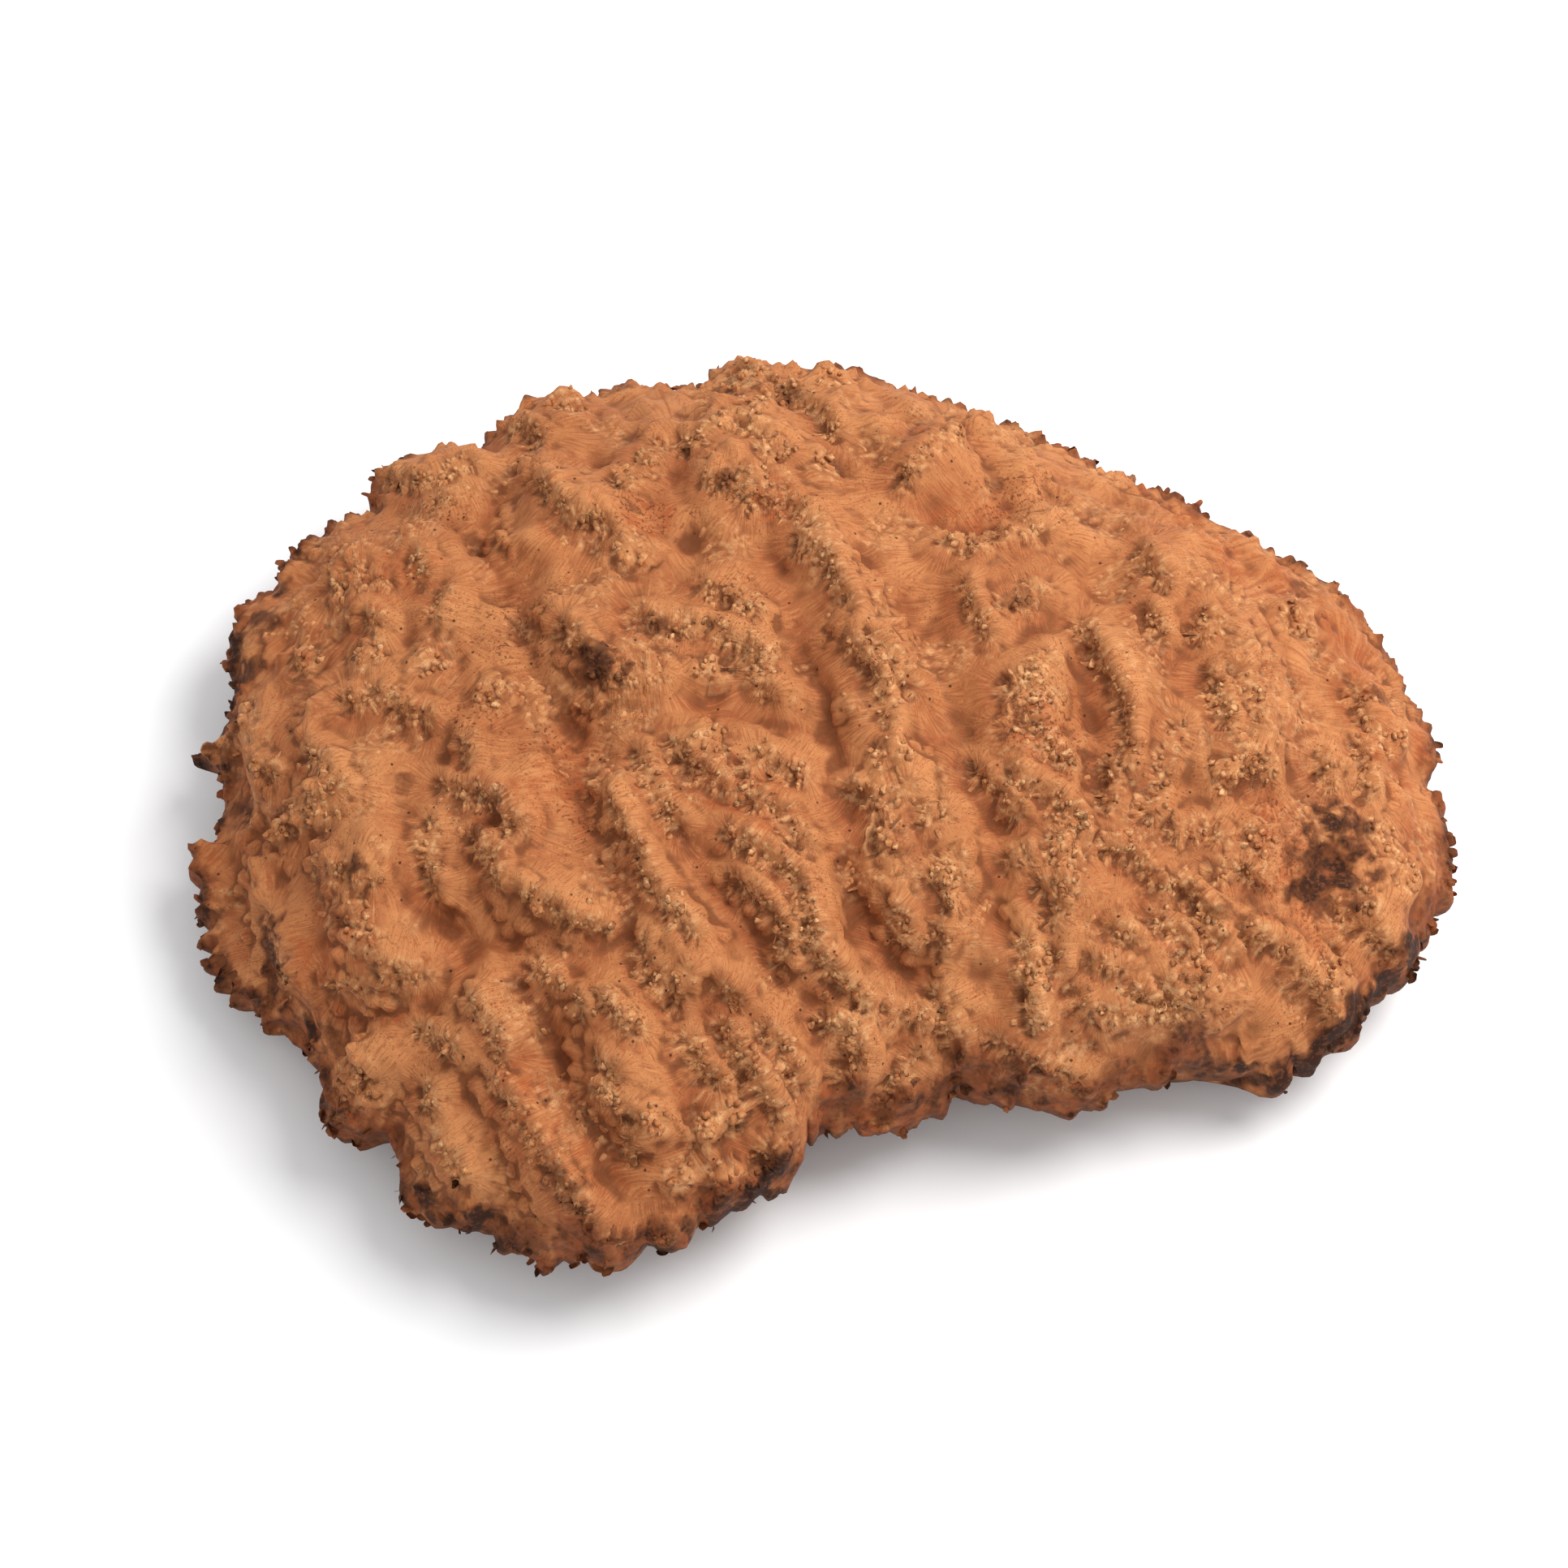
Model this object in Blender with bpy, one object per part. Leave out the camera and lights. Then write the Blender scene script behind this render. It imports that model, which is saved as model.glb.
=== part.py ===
"""Mallee burl cap: one solid block sawn from the outside of a eucalypt burl, with the bark off.

The top is a dome of long lobes. Their crests carry rows of bud pips, and smooth valleys run between them.
The rim is jagged and stands clear of the ground, and the block rests on a flat sawn face.

Sizes are in millimetres here and become metres at the end. +Z is up, +X is along the longest side.
The lines of the relief are laid out on the face of the cap, seen from in front and from FACE_ANGLE
above the ground: how far to the right, then how far up the face, both from its middle.
"""

import math
import random

import bmesh
import bpy
import numpy as np
from mathutils import Vector, noise
from mathutils.bvhtree import BVHTree
from mathutils.geometry import delaunay_2d_cdt

for old in list(bpy.data.objects):
    bpy.data.objects.remove(old, do_unlink=True)

TO_METRES = 0.001
SEED = 38
FACE_ANGLE = math.radians(60)
FACE_DISTANCE = 1500.0
FACE_MIDDLE = (-8.5, 8.5)
FACE_HEIGHT = 40.0

TOP = 81.0  # crown of the plain dome
RIM = 25.0  # lowest part of the rim
DOME_SIDE = 2.3  # the larger, the later the dome starts to fall
DOME_EDGE = 0.6  # the smaller, the steeper it meets the rim
RIM_FRONT = 20.0  # height at which the outline is met in front, by the lip
RIM_BACK = 47.0  # and at the back, where the shoulder makes it
BACK_SPREAD = 8.5  # how far the rim lies outside the shoulder
BACK_STARTS = (-0.02, 0.55)  # steepness up the face over which the front turns into the back
ENVELOPE_REACH = 7  # degrees over which notches are bridged
EDGE_MARGIN = 1.5  # how far the dome's foot lies outside the rim
SCALLOP_START = 0.62  # share of the way out where the rim's scallops begin to show
RIM_CALM = 0.75  # share of the relief that is left at the rim

LOBE_RISE = 6.0
LOBE_REACH = 22.0
VALLEY_DEPTH = 5.5
VALLEY_REACH = 14.0
SHELF_REACH = 24.0
CREST_RISE = 7.0
CREST_REACH = 13.0
CREST_LEAN = 0.4  # how much longer the smooth bank is than the reach, and how much shorter the steep
CREST_BREAKS = 0.5  # share of a crest's height that comes and goes along it
BREAK_SIZE = 11.0
KNOB_RISE = 4.8
KNOB_SPREAD = 1.3  # reach of a knob's swelling in its radii
PIT_DEPTH = 6.0
PIT_SPREAD = 1.2
PIP_RISE = 1.7
PIP_PITCH = 3.3
TOOTH = 1.9  # how far every other point of the rim stands out
TOOTH_RANGE = (-0.6, 1.5)
ROUGHNESS = 0.5
WAVES = (
    # height and size of the soft waves that go on where no line is drawn
    (2.0, 24.0),
    (1.3, 9.0),
)

POINT_SPACING = 4.0
RIM_SPACING = 4.0
RIM_GAP = 2.5  # kept free of points inside the rim
LOOSE_GAP = 0.8  # how near points of a row may come, in their spacing
FILLS = (
    # spacing of the points between the rows, and how many places are tried
    (1.0 * POINT_SPACING, 26000),
    (0.86 * POINT_SPACING, 24000),
)
SHEET_HALF = (210.0, 172.0)
SHEET_STEPS = (120, 100)
LIP = 8.0  # thickness of the rim's edge
LIP_RANGE = (0.8, 1.25)
LIP_SWAY = (-1.2, 0.6)
LOWEST_LIP = 14.0
BASE_INSET = 27.0
BASE_CALM = 6  # degrees over which the sawn face's outline is evened out
TUCK = (
    # share of the way down from the lip to the sawn face, share of the inset
    (0.42, 0.30),
    (0.80, 0.68),
    (1.0, 1.0),
)
BARK_RELIEF = 2.6  # furrows under the rim
BARK_PITCH = 16.0
STEEP_SIDE = (-0.92, -0.39)  # in plan, the way the crests lean

# The rim on the face, clockwise from the left tip.
OUTLINE = [
    (-196, -13), (-194, -9.5), (-189.5, -6), (-189, 0), (-189, 5), (-192.5, 13), (-191, 19),
    (-184, 23), (-177, 28), (-176, 35), (-174, 38), (-175, 43), (-175.5, 52), (-173, 62),
    (-170, 69.5), (-165, 71), (-160, 76), (-153, 83), (-149, 87.5), (-140, 91), (-137, 95),
    (-132, 95.5), (-129.5, 104), (-125, 107), (-120, 111), (-109, 114), (-100, 110.5),
    (-96, 120), (-93, 119.5), (-87.5, 124), (-85, 122), (-82, 127), (-73, 130.5), (-66, 127),
    (-62, 132), (-55, 133), (-46, 134), (-40, 130.5), (-34, 129.5), (-32, 133), (-26, 137.5),
    (-22, 139), (-17, 139), (-11, 137), (-4, 131), (3, 136.5), (9, 137), (20, 134.5),
    (35, 130), (46, 125), (50, 123.5), (51, 121), (58, 121.5), (70, 116), (81, 111.5),
    (87, 105.5), (90, 107), (95, 106.5), (97, 99), (104, 99.5), (114, 96.5), (121, 91.5),
    (133, 87.5), (144, 80.5), (151, 76), (158, 70), (164, 64), (170, 57), (173.5, 50),
    (180, 42), (182, 36.5), (187, 26), (190, 21), (191, 12), (188, 5), (193, 2),
    (195.5, -8), (195.5, -19), (194.5, -28), (192.5, -35), (187, -43), (178, -55),
    (172, -59.5), (169, -66), (164, -72), (157, -77), (150, -81.5), (143, -84.5),
    (136, -85), (130, -80.5), (124, -77), (119, -77), (117, -81.5), (110, -80.5),
    (107, -83), (99, -86.5), (93, -87), (84, -92), (70, -93.5), (61, -89.5), (53, -87),
    (48, -83.5), (45, -85), (44, -89), (36, -93), (27, -97.5), (20, -99.5), (15.5, -101.5),
    (12, -97.5), (8, -101.5), (0, -100), (-4, -98), (-6, -103), (-7, -109), (-9.5, -114),
    (-18, -121.5), (-27, -125.5), (-35, -131.5), (-44, -135.5), (-57, -137.5), (-63, -138),
    (-70, -135), (-78, -137.5), (-82, -139), (-89, -138), (-93, -134.5), (-98, -130),
    (-107, -133), (-112, -128), (-120, -123.5), (-126.5, -117), (-126.5, -110),
    (-128, -101.5), (-136, -103), (-147, -103.5), (-151, -101), (-154, -96), (-155, -90),
    (-155, -82), (-159, -73), (-160, -69.5), (-168, -68.5), (-174, -67), (-175, -62.5),
    (-184, -55), (-189, -46), (-192, -37), (-195, -31), (-193, -23),
]

# Broad swollen lobes.
LOBES = [
    [(-75, 60), (-60, 40), (-50, 30)],
    [(-90, 10), (-85, -20), (-70, -35)],
    [(-140, 10), (-135, -20), (-130, -45)],
    [(-95, -60), (-100, -64)],
    [(-85, -95), (-70, -120)],
    [(-60, -65), (-55, -95)],
    [(-60, 0), (-45, -30), (-35, -50)],
    [(-15, -15), (5, -45), (12, -70)],
    [(5, 80), (20, 45), (25, 15)],
    [(25, -10), (25, -38)],
    [(42, -15), (42, -42)],
    [(65, 40), (70, 15), (80, -5)],
    [(90, 50), (97, 20)],
    [(65, -20), (80, -30)],
    [(65, -55), (66, -60)],
    [(-78, 95), (-72, 94)],
    [(-25, 95), (-20, 115)],
    [(35, 108), (40, 106)],
    [(110, 70), (114, 66)],
    [(128, 12), (130, 45)],
    [(168, -12), (172, -30)],
]

# Valleys between the lobes.
VALLEYS = [
    [(-99, 100), (-102, 84), (-92, 66), (-86, 50), (-79, 30), (-73, 14), (-69, 0), (-67, -10),
     (-60, -25), (-57, -38), (-50, -50), (-40, -60), (-25, -62)],
    [(-10, 78), (-6, 60), (0, 46), (5, 34), (8, 22), (10, 14)],
    [(14, 80), (25, 66), (34, 52), (38, 38), (36, 22), (44, 8), (56, -4)],
    [(-40, -10), (-33, -24), (-22, -38), (-10, -50), (0, -57), (2, -75)],
    [(12, 0), (12, -15), (15, -32), (21, -43), (32, -49), (46, -47), (53, -36), (54, -20)],
    [(-122, -25), (-112, -36), (-107, -48), (-112, -58), (-130, -63), (-148, -60)],
    [(-106, -40), (-90, -42), (-70, -45), (-58, -40)],
    [(-90, -52), (-80, -65), (-76, -78), (-72, -92), (-62, -103), (-48, -107)],
    [(-182, 20), (-178, 5), (-170, -6), (-165, -20), (-168, -35), (-160, -55), (-158, -68)],
    [(40, 91), (50, 87), (62, 95)],
    [(85, 64), (84, 45), (86, 25), (87, 8), (90, -8)],
    [(-75, 25), (-60, 24), (-45, 26), (-35, 34), (-25, 30), (-5, 27)],
]

# The low shelves at the left: drop, line.
SHELVES = [
    (12.0, [(-192, 16), (-186, -12), (-188, -30), (-178, -52), (-168, -66)]),
    (6.0, [(-152, -86), (-144, -97)]),
]

# Crests of the middle, which carry the pips.
CRESTS = [
    [(-63, 5), (-58, -4), (-53, -12), (-50, -22), (-43, -29), (-36, -36)],
    [(-53, 18), (-47, 6), (-40, -4)],
    [(-42, 22), (-36, 14), (-26, 8), (-16, 6)],
    [(-20, 14), (-14, 18), (-8, 13), (-2, 12)],
    [(-26, -6), (-14, -12), (-4, -20), (0, -32), (1, -42), (10, -52), (16, -58)],
    [(-18, 3), (-9, 1), (-2, -10)],
    [(-22, -22), (-15, -27), (-8, -36), (-8, -46)],
    [(5, -66), (12, -66), (15, -72), (10, -82)],
    [(12, 8), (20, 4), (30, 8)],
    [(12, 54), (17, 47), (22, 40), (24, 30)],
    [(20, 54), (26, 46), (32, 38)],
    [(-4, 84), (4, 80), (8, 72), (12, 64)],
    [(-30, 57), (-20, 52), (-14, 47), (-18, 41), (-12, 37)],
    [(-75, 56), (-68, 50), (-64, 42), (-58, 42), (-46, 43)],
    [(-52, 60), (-46, 58), (-36, 58)],
    [(-33, 70), (-24, 66), (-17, 63)],
    [(-33, 102), (-20, 103), (-9, 102)],
    [(-20, 97), (-8, 96), (1, 91)],
    [(-58, 102), (-47, 112), (-40, 115)],
    [(-37, 113), (-30, 120), (-24, 121), (-15, 119)],
    [(-18, 127), (-8, 130), (1, 124)],
    [(4, 123), (8, 117)],
    [(-14, 112), (-8, 111)],
    [(30, 104), (38, 112), (46, 116)],
    [(42, 84), (50, 82), (60, 86), (72, 87)],
    [(48, 70), (50, 62), (54, 56)],
    [(60, 64), (70, 66)],
    [(36, 1), (36, -3), (41, -1)],
    [(45, -14), (40, -21), (42, -28), (47, -22)],
    [(40, -35), (40, -44)],
    [(25, -29), (29, -34), (26, -38), (30, -42)],
    [(27, -62), (33, -64), (38, -60)],
    [(39, -57), (43, -67), (45, -73)],
    [(34, -76), (28, -84), (22, -92)],
    # to the right
    [(74, 48), (67, 42), (62, 38)],
    [(76, 36), (66, 30), (60, 26)],
    [(70, 27), (72, 20), (79, 16)],
    [(52, 12), (57, 8), (63, 1)],
    [(62, 12), (72, 6), (80, 1), (83, -5)],
    [(84, 58), (87, 51), (92, 43), (96, 35), (98, 24), (97, 16)],
    [(92, 14), (91, 3)],
    [(102, 81), (106, 75), (109, 70)],
    [(104, 62), (108, 55)],
    [(114, 26), (109, 18), (108, 8), (105, 0)],
    [(124, 43), (126, 35), (128, 29)],
    [(131, 44), (135, 38), (138, 32)],
    [(120, 55), (126, 58), (122, 62)],
    [(134, 19), (142, 15), (139, 11)],
    [(157, 16), (160, 11), (165, 12)],
    [(168, 38), (171, 30)],
    [(170, 20), (172, 6)],
    [(113, -6), (120, -4), (127, -8)],
    [(125, -19), (132, -18), (138, -21)],
    [(62, -15), (66, -13)],
    [(74, -11), (79, -15), (84, -13)],
    [(72, -23), (78, -21), (83, -23)],
    [(77, -28), (75, -33)],
    [(75, -7), (82, -3)],
    [(92, -10), (100, -13), (108, -22)],
    [(112, -20), (122, -30)],
    [(94, -36), (100, -39)],
    [(107, -33), (116, -39)],
    [(121, -36), (129, -42)],
    [(66, -40), (68, -48), (67, -56), (69, -66)],
    [(75, -44), (76, -48)],
    [(88, -47), (96, -47)],
    [(82, -56), (84, -60)],
    [(100, -55), (106, -58)],
    [(110, -54), (114, -60)],
    [(120, -52), (124, -58)],
    [(88, -64), (98, -61), (108, -63), (118, -61)],
    [(58, -72), (66, -76), (76, -80), (84, -86)],
    [(137, -38), (147, -42)],
    [(150, -48), (158, -55), (160, -64)],
    [(172, -36), (178, -44)],
    # to the left
    [(-113, 8), (-104, 7), (-97, 4), (-91, -4)],
    [(-104, -7), (-98, -14), (-97, -21)],
    [(-90, -24), (-84, -28), (-75, -33), (-63, -36)],
    [(-117, -2), (-117, -10), (-118, -18), (-116, -23)],
    [(-107, 22), (-106, 16)],
    [(-142, 34), (-134, 37), (-126, 32), (-118, 30)],
    [(-137, 61), (-134, 60)],
    [(-113, 68), (-116, 60)],
    [(-122, 80), (-120, 73)],
    [(-142, 76), (-137, 77)],
    [(-147, 70), (-130, 72)],
    [(-84, 103), (-74, 92), (-63, 89)],
    [(-92, 118), (-86, 119), (-84, 115)],
    [(-128, 103), (-120, 102), (-105, 108)],
    [(-155, 18), (-149, 16)],
    [(-172, 14), (-166, 13)],
    [(-155, 4), (-150, 3), (-146, 8)],
    [(-148, -18), (-140, -17), (-135, -20)],
    [(-132, -48), (-125, -50), (-119, -50)],
    [(-146, -54), (-137, -54)],
    [(-167, -34), (-166, -42), (-163, -50)],
    [(-120, -67), (-110, -72)],
    [(-105, -57), (-101, -64), (-97, -70), (-95, -75)],
    [(-84, -48), (-78, -53), (-71, -59)],
    [(-66, -54), (-58, -64), (-53, -67)],
    [(-66, -77), (-60, -80)],
    [(-68, -85), (-62, -87), (-56, -92)],
    [(-56, -100), (-54, -106)],
    [(-99, -82), (-92, -89), (-88, -97), (-82, -107), (-74, -118), (-67, -128)],
    [(-118, -86), (-118, -90)],
    [(-115, -101), (-111, -106), (-108, -112)],
    [(-52, -40), (-50, -46), (-47, -52), (-42, -57)],
    [(-38, -50), (-40, -54)],
    [(-28, -54), (-23, -57)],
    [(-37, -70), (-33, -78), (-29, -82)],
    [(-27, -66), (-22, -74), (-16, -83), (-10, -92)],
    [(-12, -68), (-7, -76), (-2, -84)],
    [(-68, -131), (-56, -133), (-45, -131)],
    [(-30, -118), (-18, -115), (-12, -105)],
    [(-140, -80), (-136, -84)],
    [(-140, -90), (-146, -93)],
]

# Round knobs: across, up, radius.
KNOBS = [
    (-31, 21, 8), (24, 18, 8), (-31, 44, 6), (-56, 81, 9), (-20, 134, 12), (6, 132, 9),
    (3, 107, 6), (128, 12, 8), (138, -9, 7), (117, -48, 8), (137, -38, 6), (22, -8, 6),
    (-157, 48, 7), (-137, 48, 7), (-118, 46, 7), (-95, 83, 6), (-75, 125, 9), (-98, 37, 8),
    (-160, -2, 6), (-152, -3, 6), (-166, -6, 6), (-142, -30, 7), (-139, -39, 6), (-48, -95, 7),
    (-33, -96, 6), (-24, -94, 6), (-33, -101, 6), (-28, -112, 6), (-40, -112, 7),
    (-96, 62, 9), (-150, 30, 8), (20, 116, 10), (66, 104, 10), (120, 80, 10), (150, 60, 10),
    (178, 22, 8), (182, -20, 8), (10, 30, 6), (-88, 82, 8), (-110, 96, 9),
]

# Pits and holes: across, up, radius.
PITS = [
    (-146, -70, 7), (-38, -122, 5), (-72, 30, 8), (-37, 84, 5), (-97, -4, 6), (160, -14, 7),
    (152, -24, 5), (5, -97, 4), (-54, -105, 4), (-103, 84, 5), (86, 90, 5), (48, 88, 6),
]

RIGHT = np.array((1.0, 0.0, 0.0))
UP = np.array((0.0, math.sin(FACE_ANGLE), math.cos(FACE_ANGLE)))
BACK = np.array((0.0, -math.cos(FACE_ANGLE), math.sin(FACE_ANGLE)))
MIDDLE = np.array((0.0, 0.0, FACE_HEIGHT))
EYE = MIDDLE + FACE_MIDDLE[0] * RIGHT + FACE_MIDDLE[1] * UP + FACE_DISTANCE * BACK
draw = random.Random(SEED)


def smooth_step(value, low, high):
    share = min(max((value - low) / (high - low), 0.0), 1.0)
    return share * share * (3 - 2 * share)


def at_level(across, up, level):
    """The point at this height that lies behind a place on the face."""
    sight = MIDDLE + across * RIGHT + up * UP - EYE
    return EYE + sight * (level - EYE[2]) / sight[2]


def resampled(line, pitch, loop=False):
    """The broken line with points added so that none is further apart than the pitch."""
    ends = list(line[1:]) + ([line[0]] if loop else [])
    points = []
    for start, end in zip(line, ends):
        steps = max(1, round(math.dist(start, end) / pitch))
        for step in range(steps):
            share = step / steps
            points.append([a + (b - a) * share for a, b in zip(start, end)])
    if not loop:
        points.append(list(line[-1]))
    return np.array(points, float)


every_degree = np.radians(np.arange(-180, 180))


def rolled_over(values, reach):
    """A ring of values beside itself shifted by up to the reach either way."""
    return [np.roll(values, shift) for shift in range(-reach, reach + 1)]


def reach_by_degree(places):
    """How far a closed line round the middle reaches at every degree."""
    turns = np.arctan2(places[:, 1], places[:, 0])
    order = np.argsort(turns)
    return np.interp(every_degree, turns[order], np.hypot(*places[order].T), period=2 * math.pi)


def reach_at(reaches, x, y):
    return np.interp(np.arctan2(y, x), every_degree, reaches, period=2 * math.pi)


def dome(x, y):
    """Height of the plain dome, whose crown is even and whose shoulder follows the rim's scallops."""
    reach = np.hypot(x, y)
    even = reach / reach_at(envelope, x, y)
    scalloped = reach / reach_at(scallops, x, y)
    outward = np.clip((even - SCALLOP_START) / (1 - SCALLOP_START), 0, 1)
    share = np.clip(even + (scalloped - even) * outward, 0, 1)
    return RIM + (TOP - RIM) * (1 - share**DOME_SIDE) ** DOME_EDGE


# The rim in plan. Its lip makes the outline in front and the shoulder above it makes it behind.
levels = [RIM_FRONT] * len(OUTLINE)
for attempt in range(4):
    rim_corners = []
    for (across, up), level in zip(OUTLINE, levels):
        behind = smooth_step(up / math.hypot(across, up), *BACK_STARTS)
        place = at_level(across, up, level + (RIM_BACK - level) * behind)
        spread = 1 + BACK_SPREAD * behind / math.hypot(place[0], place[1])
        rim_corners.append((place[0] * spread, place[1] * spread))
    scallops = reach_by_degree(np.array(rim_corners)) + EDGE_MARGIN
    bridged = np.max(rolled_over(scallops, ENVELOPE_REACH), axis=0)
    envelope = np.mean(rolled_over(bridged, ENVELOPE_REACH), axis=0)
    levels = [float(dome(x, y)) - LIP for x, y in rim_corners]

rim_plan = resampled(rim_corners, RIM_SPACING, loop=True)
for index, place in enumerate(rim_plan):
    tooth = TOOTH * (1 if index % 2 else -1) * draw.uniform(*TOOTH_RANGE)
    place *= 1 + tooth / math.hypot(place[0], place[1])
rim_reach = reach_by_degree(rim_plan)


def dome_points(plan):
    """Points of the dome over a plan, and the way its surface faces there."""
    x, y = plan[:, 0], plan[:, 1]
    step = 2.0
    slope_x = (dome(x + step, y) - dome(x - step, y)) / (2 * step)
    slope_y = (dome(x, y + step) - dome(x, y - step)) / (2 * step)
    facing = np.stack([-slope_x, -slope_y, np.ones(len(x))], axis=1)
    facing /= np.linalg.norm(facing, axis=1)[:, None]
    return np.stack([x, y, dome(x, y)], axis=1), facing


# A sheet of the plain dome, on which the lines of the face are laid.
sheet = bmesh.new()
bmesh.ops.create_grid(sheet, x_segments=SHEET_STEPS[0], y_segments=SHEET_STEPS[1], size=1.0)
for corner in sheet.verts:
    x, y = corner.co.x * SHEET_HALF[0], corner.co.y * SHEET_HALF[1]
    corner.co = Vector((x, y, float(dome(np.array(x), np.array(y)))))
dome_sheet = BVHTree.FromBMesh(sheet)
sheet.free()


def on_dome(across, up):
    """The point of the dome behind a place on the face."""
    sight = Vector(MIDDLE + across * RIGHT + up * UP - EYE).normalized()
    found = dome_sheet.ray_cast(Vector(EYE), sight)[0]
    return np.array(found) if found else at_level(across, up, RIM_BACK)


def laid(lines, pitch):
    """Lines of the face laid on the dome."""
    return [np.array([on_dome(*place) for place in resampled(line, pitch)]) for line in lines]


def strongest(points, lines, reach, profile, lean=0.0):
    """The strongest effect of any of the lines on each point, with the reach longer on one bank."""
    most = np.zeros(len(points))
    for line in lines:
        for start, end in zip(line[:-1], line[1:]):
            along = end - start
            share = np.clip((points - start) @ along / max(along @ along, 1e-9), 0, 1)
            gap = points - start - share[:, None] * along
            distance = np.linalg.norm(gap, axis=1)
            steep = gap[:, :2] @ np.array(STEEP_SIDE) / (distance + 1e-6)
            most = np.maximum(most, profile(np.clip(distance / (reach * (1 - lean * steep)), 0, 1)))
    return most


def swollen(share):
    return (1 - share**2) ** 2


def full(share):
    return (1 - share**2) ** 1.4


def sharp(share):
    return (1 - share) ** 1.7


lobes = laid(LOBES, 20)
valleys = laid(VALLEYS, 20)
shelves = [(drop, laid([line], 20)) for drop, line in SHELVES]
crests = laid(CRESTS, 8)
knobs = [(on_dome(across, up), radius) for across, up, radius in KNOBS]
pits = [(on_dome(across, up), radius) for across, up, radius in PITS]


def relief(points):
    """How far the real surface stands out from the dome at each point."""
    height = LOBE_RISE * strongest(points, lobes, LOBE_REACH, swollen)
    height -= VALLEY_DEPTH * strongest(points, valleys, VALLEY_REACH, sharp)
    for drop, shelf in shelves:
        height -= drop * strongest(points, shelf, SHELF_REACH, swollen)
    breaks = np.array([0.5 + noise.noise(Vector(point) / BREAK_SIZE) for point in points])
    crest_height = CREST_RISE * (1 - CREST_BREAKS * np.clip(breaks, 0, 1))
    height += crest_height * strongest(points, crests, CREST_REACH, full, CREST_LEAN)
    for middle, radius in knobs:
        share = np.clip(np.linalg.norm(points - middle, axis=1) / (KNOB_SPREAD * radius), 0, 1)
        height += KNOB_RISE * swollen(share)
    for middle, radius in pits:
        share = np.clip(np.linalg.norm(points - middle, axis=1) / (PIT_SPREAD * radius), 0, 1)
        height -= PIT_DEPTH * swollen(share)
    for rise, size in WAVES:
        height += rise * np.array([noise.noise(Vector(point) / size) for point in points])
    to_rim = np.clip((reach_at(rim_reach, *points[:, :2].T) - np.hypot(*points[:, :2].T)) / CREST_REACH, 0, 1)
    return height * (RIM_CALM + (1 - RIM_CALM) * to_rim)


# Points of the top: pips in rows on the crests and knobs, then the ground between them.
plan_points = [tuple(place) for place in rim_plan]
pip_rise = [0.0] * len(plan_points)
taken = {}


def cell_of(place, size):
    return tuple(int(math.floor(value / size)) for value in place)


def free_there(place, gap):
    """Whether no point is nearer than the gap."""
    home = cell_of(place, POINT_SPACING)
    for shift_x in (-1, 0, 1):
        for shift_y in (-1, 0, 1):
            for shift_z in (-1, 0, 1):
                cell = (home[0] + shift_x, home[1] + shift_y, home[2] + shift_z)
                for other in taken.get(cell, ()):
                    if math.dist(place, other) < gap:
                        return False
    return True


def take(place):
    taken.setdefault(cell_of(place, POINT_SPACING), []).append(tuple(place))


def inside_rim(x, y, margin):
    return math.hypot(x, y) < reach_at(rim_reach, x, y) - margin


for place in dome_points(rim_plan)[0]:
    take(place)
for line in crests:
    for index, place in enumerate(resampled(line, PIP_PITCH)):
        if not inside_rim(place[0], place[1], RIM_GAP) or not free_there(place, LOOSE_GAP * PIP_PITCH):
            continue
        take(place)
        plan_points.append((place[0], place[1]))
        pip_rise.append(PIP_RISE * (draw.uniform(0.7, 1.3) if index % 2 else draw.uniform(-0.7, 0.1)))
for middle, radius in knobs:
    if inside_rim(middle[0], middle[1], RIM_GAP) and free_there(middle, LOOSE_GAP * PIP_PITCH):
        take(middle)
        plan_points.append((middle[0], middle[1]))
        pip_rise.append(PIP_RISE)
for line in valleys:
    for place in resampled(line, POINT_SPACING):
        if inside_rim(place[0], place[1], RIM_GAP) and free_there(place, LOOSE_GAP * POINT_SPACING):
            take(place)
            plan_points.append((place[0], place[1]))
            pip_rise.append(0.0)
for gap, tries in FILLS:
    scatter = np.array([[draw.uniform(-half, half) for half in SHEET_HALF] for _ in range(tries)])
    for place in dome_points(scatter)[0]:
        if inside_rim(place[0], place[1], RIM_GAP) and free_there(place, gap):
            take(place)
            plan_points.append((place[0], place[1]))
            pip_rise.append(ROUGHNESS * draw.gauss(0, 1))

flat_points, _, triangles, sources, _, _ = delaunay_2d_cdt(
    [Vector(place) for place in plan_points],
    [],
    [list(range(len(rim_plan)))],
    1,
    1e-4,
)
plan = np.array([tuple(place) for place in flat_points])
pips = np.array([pip_rise[found[0]] if found else 0.0 for found in sources])
plain, facing = dome_points(plan)
surface = plain + facing * (relief(plain) + pips)[:, None]

# The top sheet, then the rim's lip and the furrowed underside drawn down from it to the sawn face.
solid = bmesh.new()
corners = [solid.verts.new(place) for place in surface]
for triangle in triangles:
    solid.faces.new([corners[index] for index in triangle])
bmesh.ops.recalc_face_normals(solid, faces=solid.faces[:])
rim_edges = [edge for edge in solid.edges if edge.is_boundary]

base_reach = np.mean(rolled_over(rim_reach, BASE_CALM), axis=0)


def drawn_down(edges, move):
    """Extrudes a ring of edges and moves each new corner."""
    made = bmesh.ops.extrude_edge_only(solid, edges=edges)["geom"]
    for item in made:
        if isinstance(item, bmesh.types.BMVert):
            move(item.co)
    fresh = {item for item in made if isinstance(item, bmesh.types.BMEdge)}
    return [edge for edge in fresh if edge.is_boundary]


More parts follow.
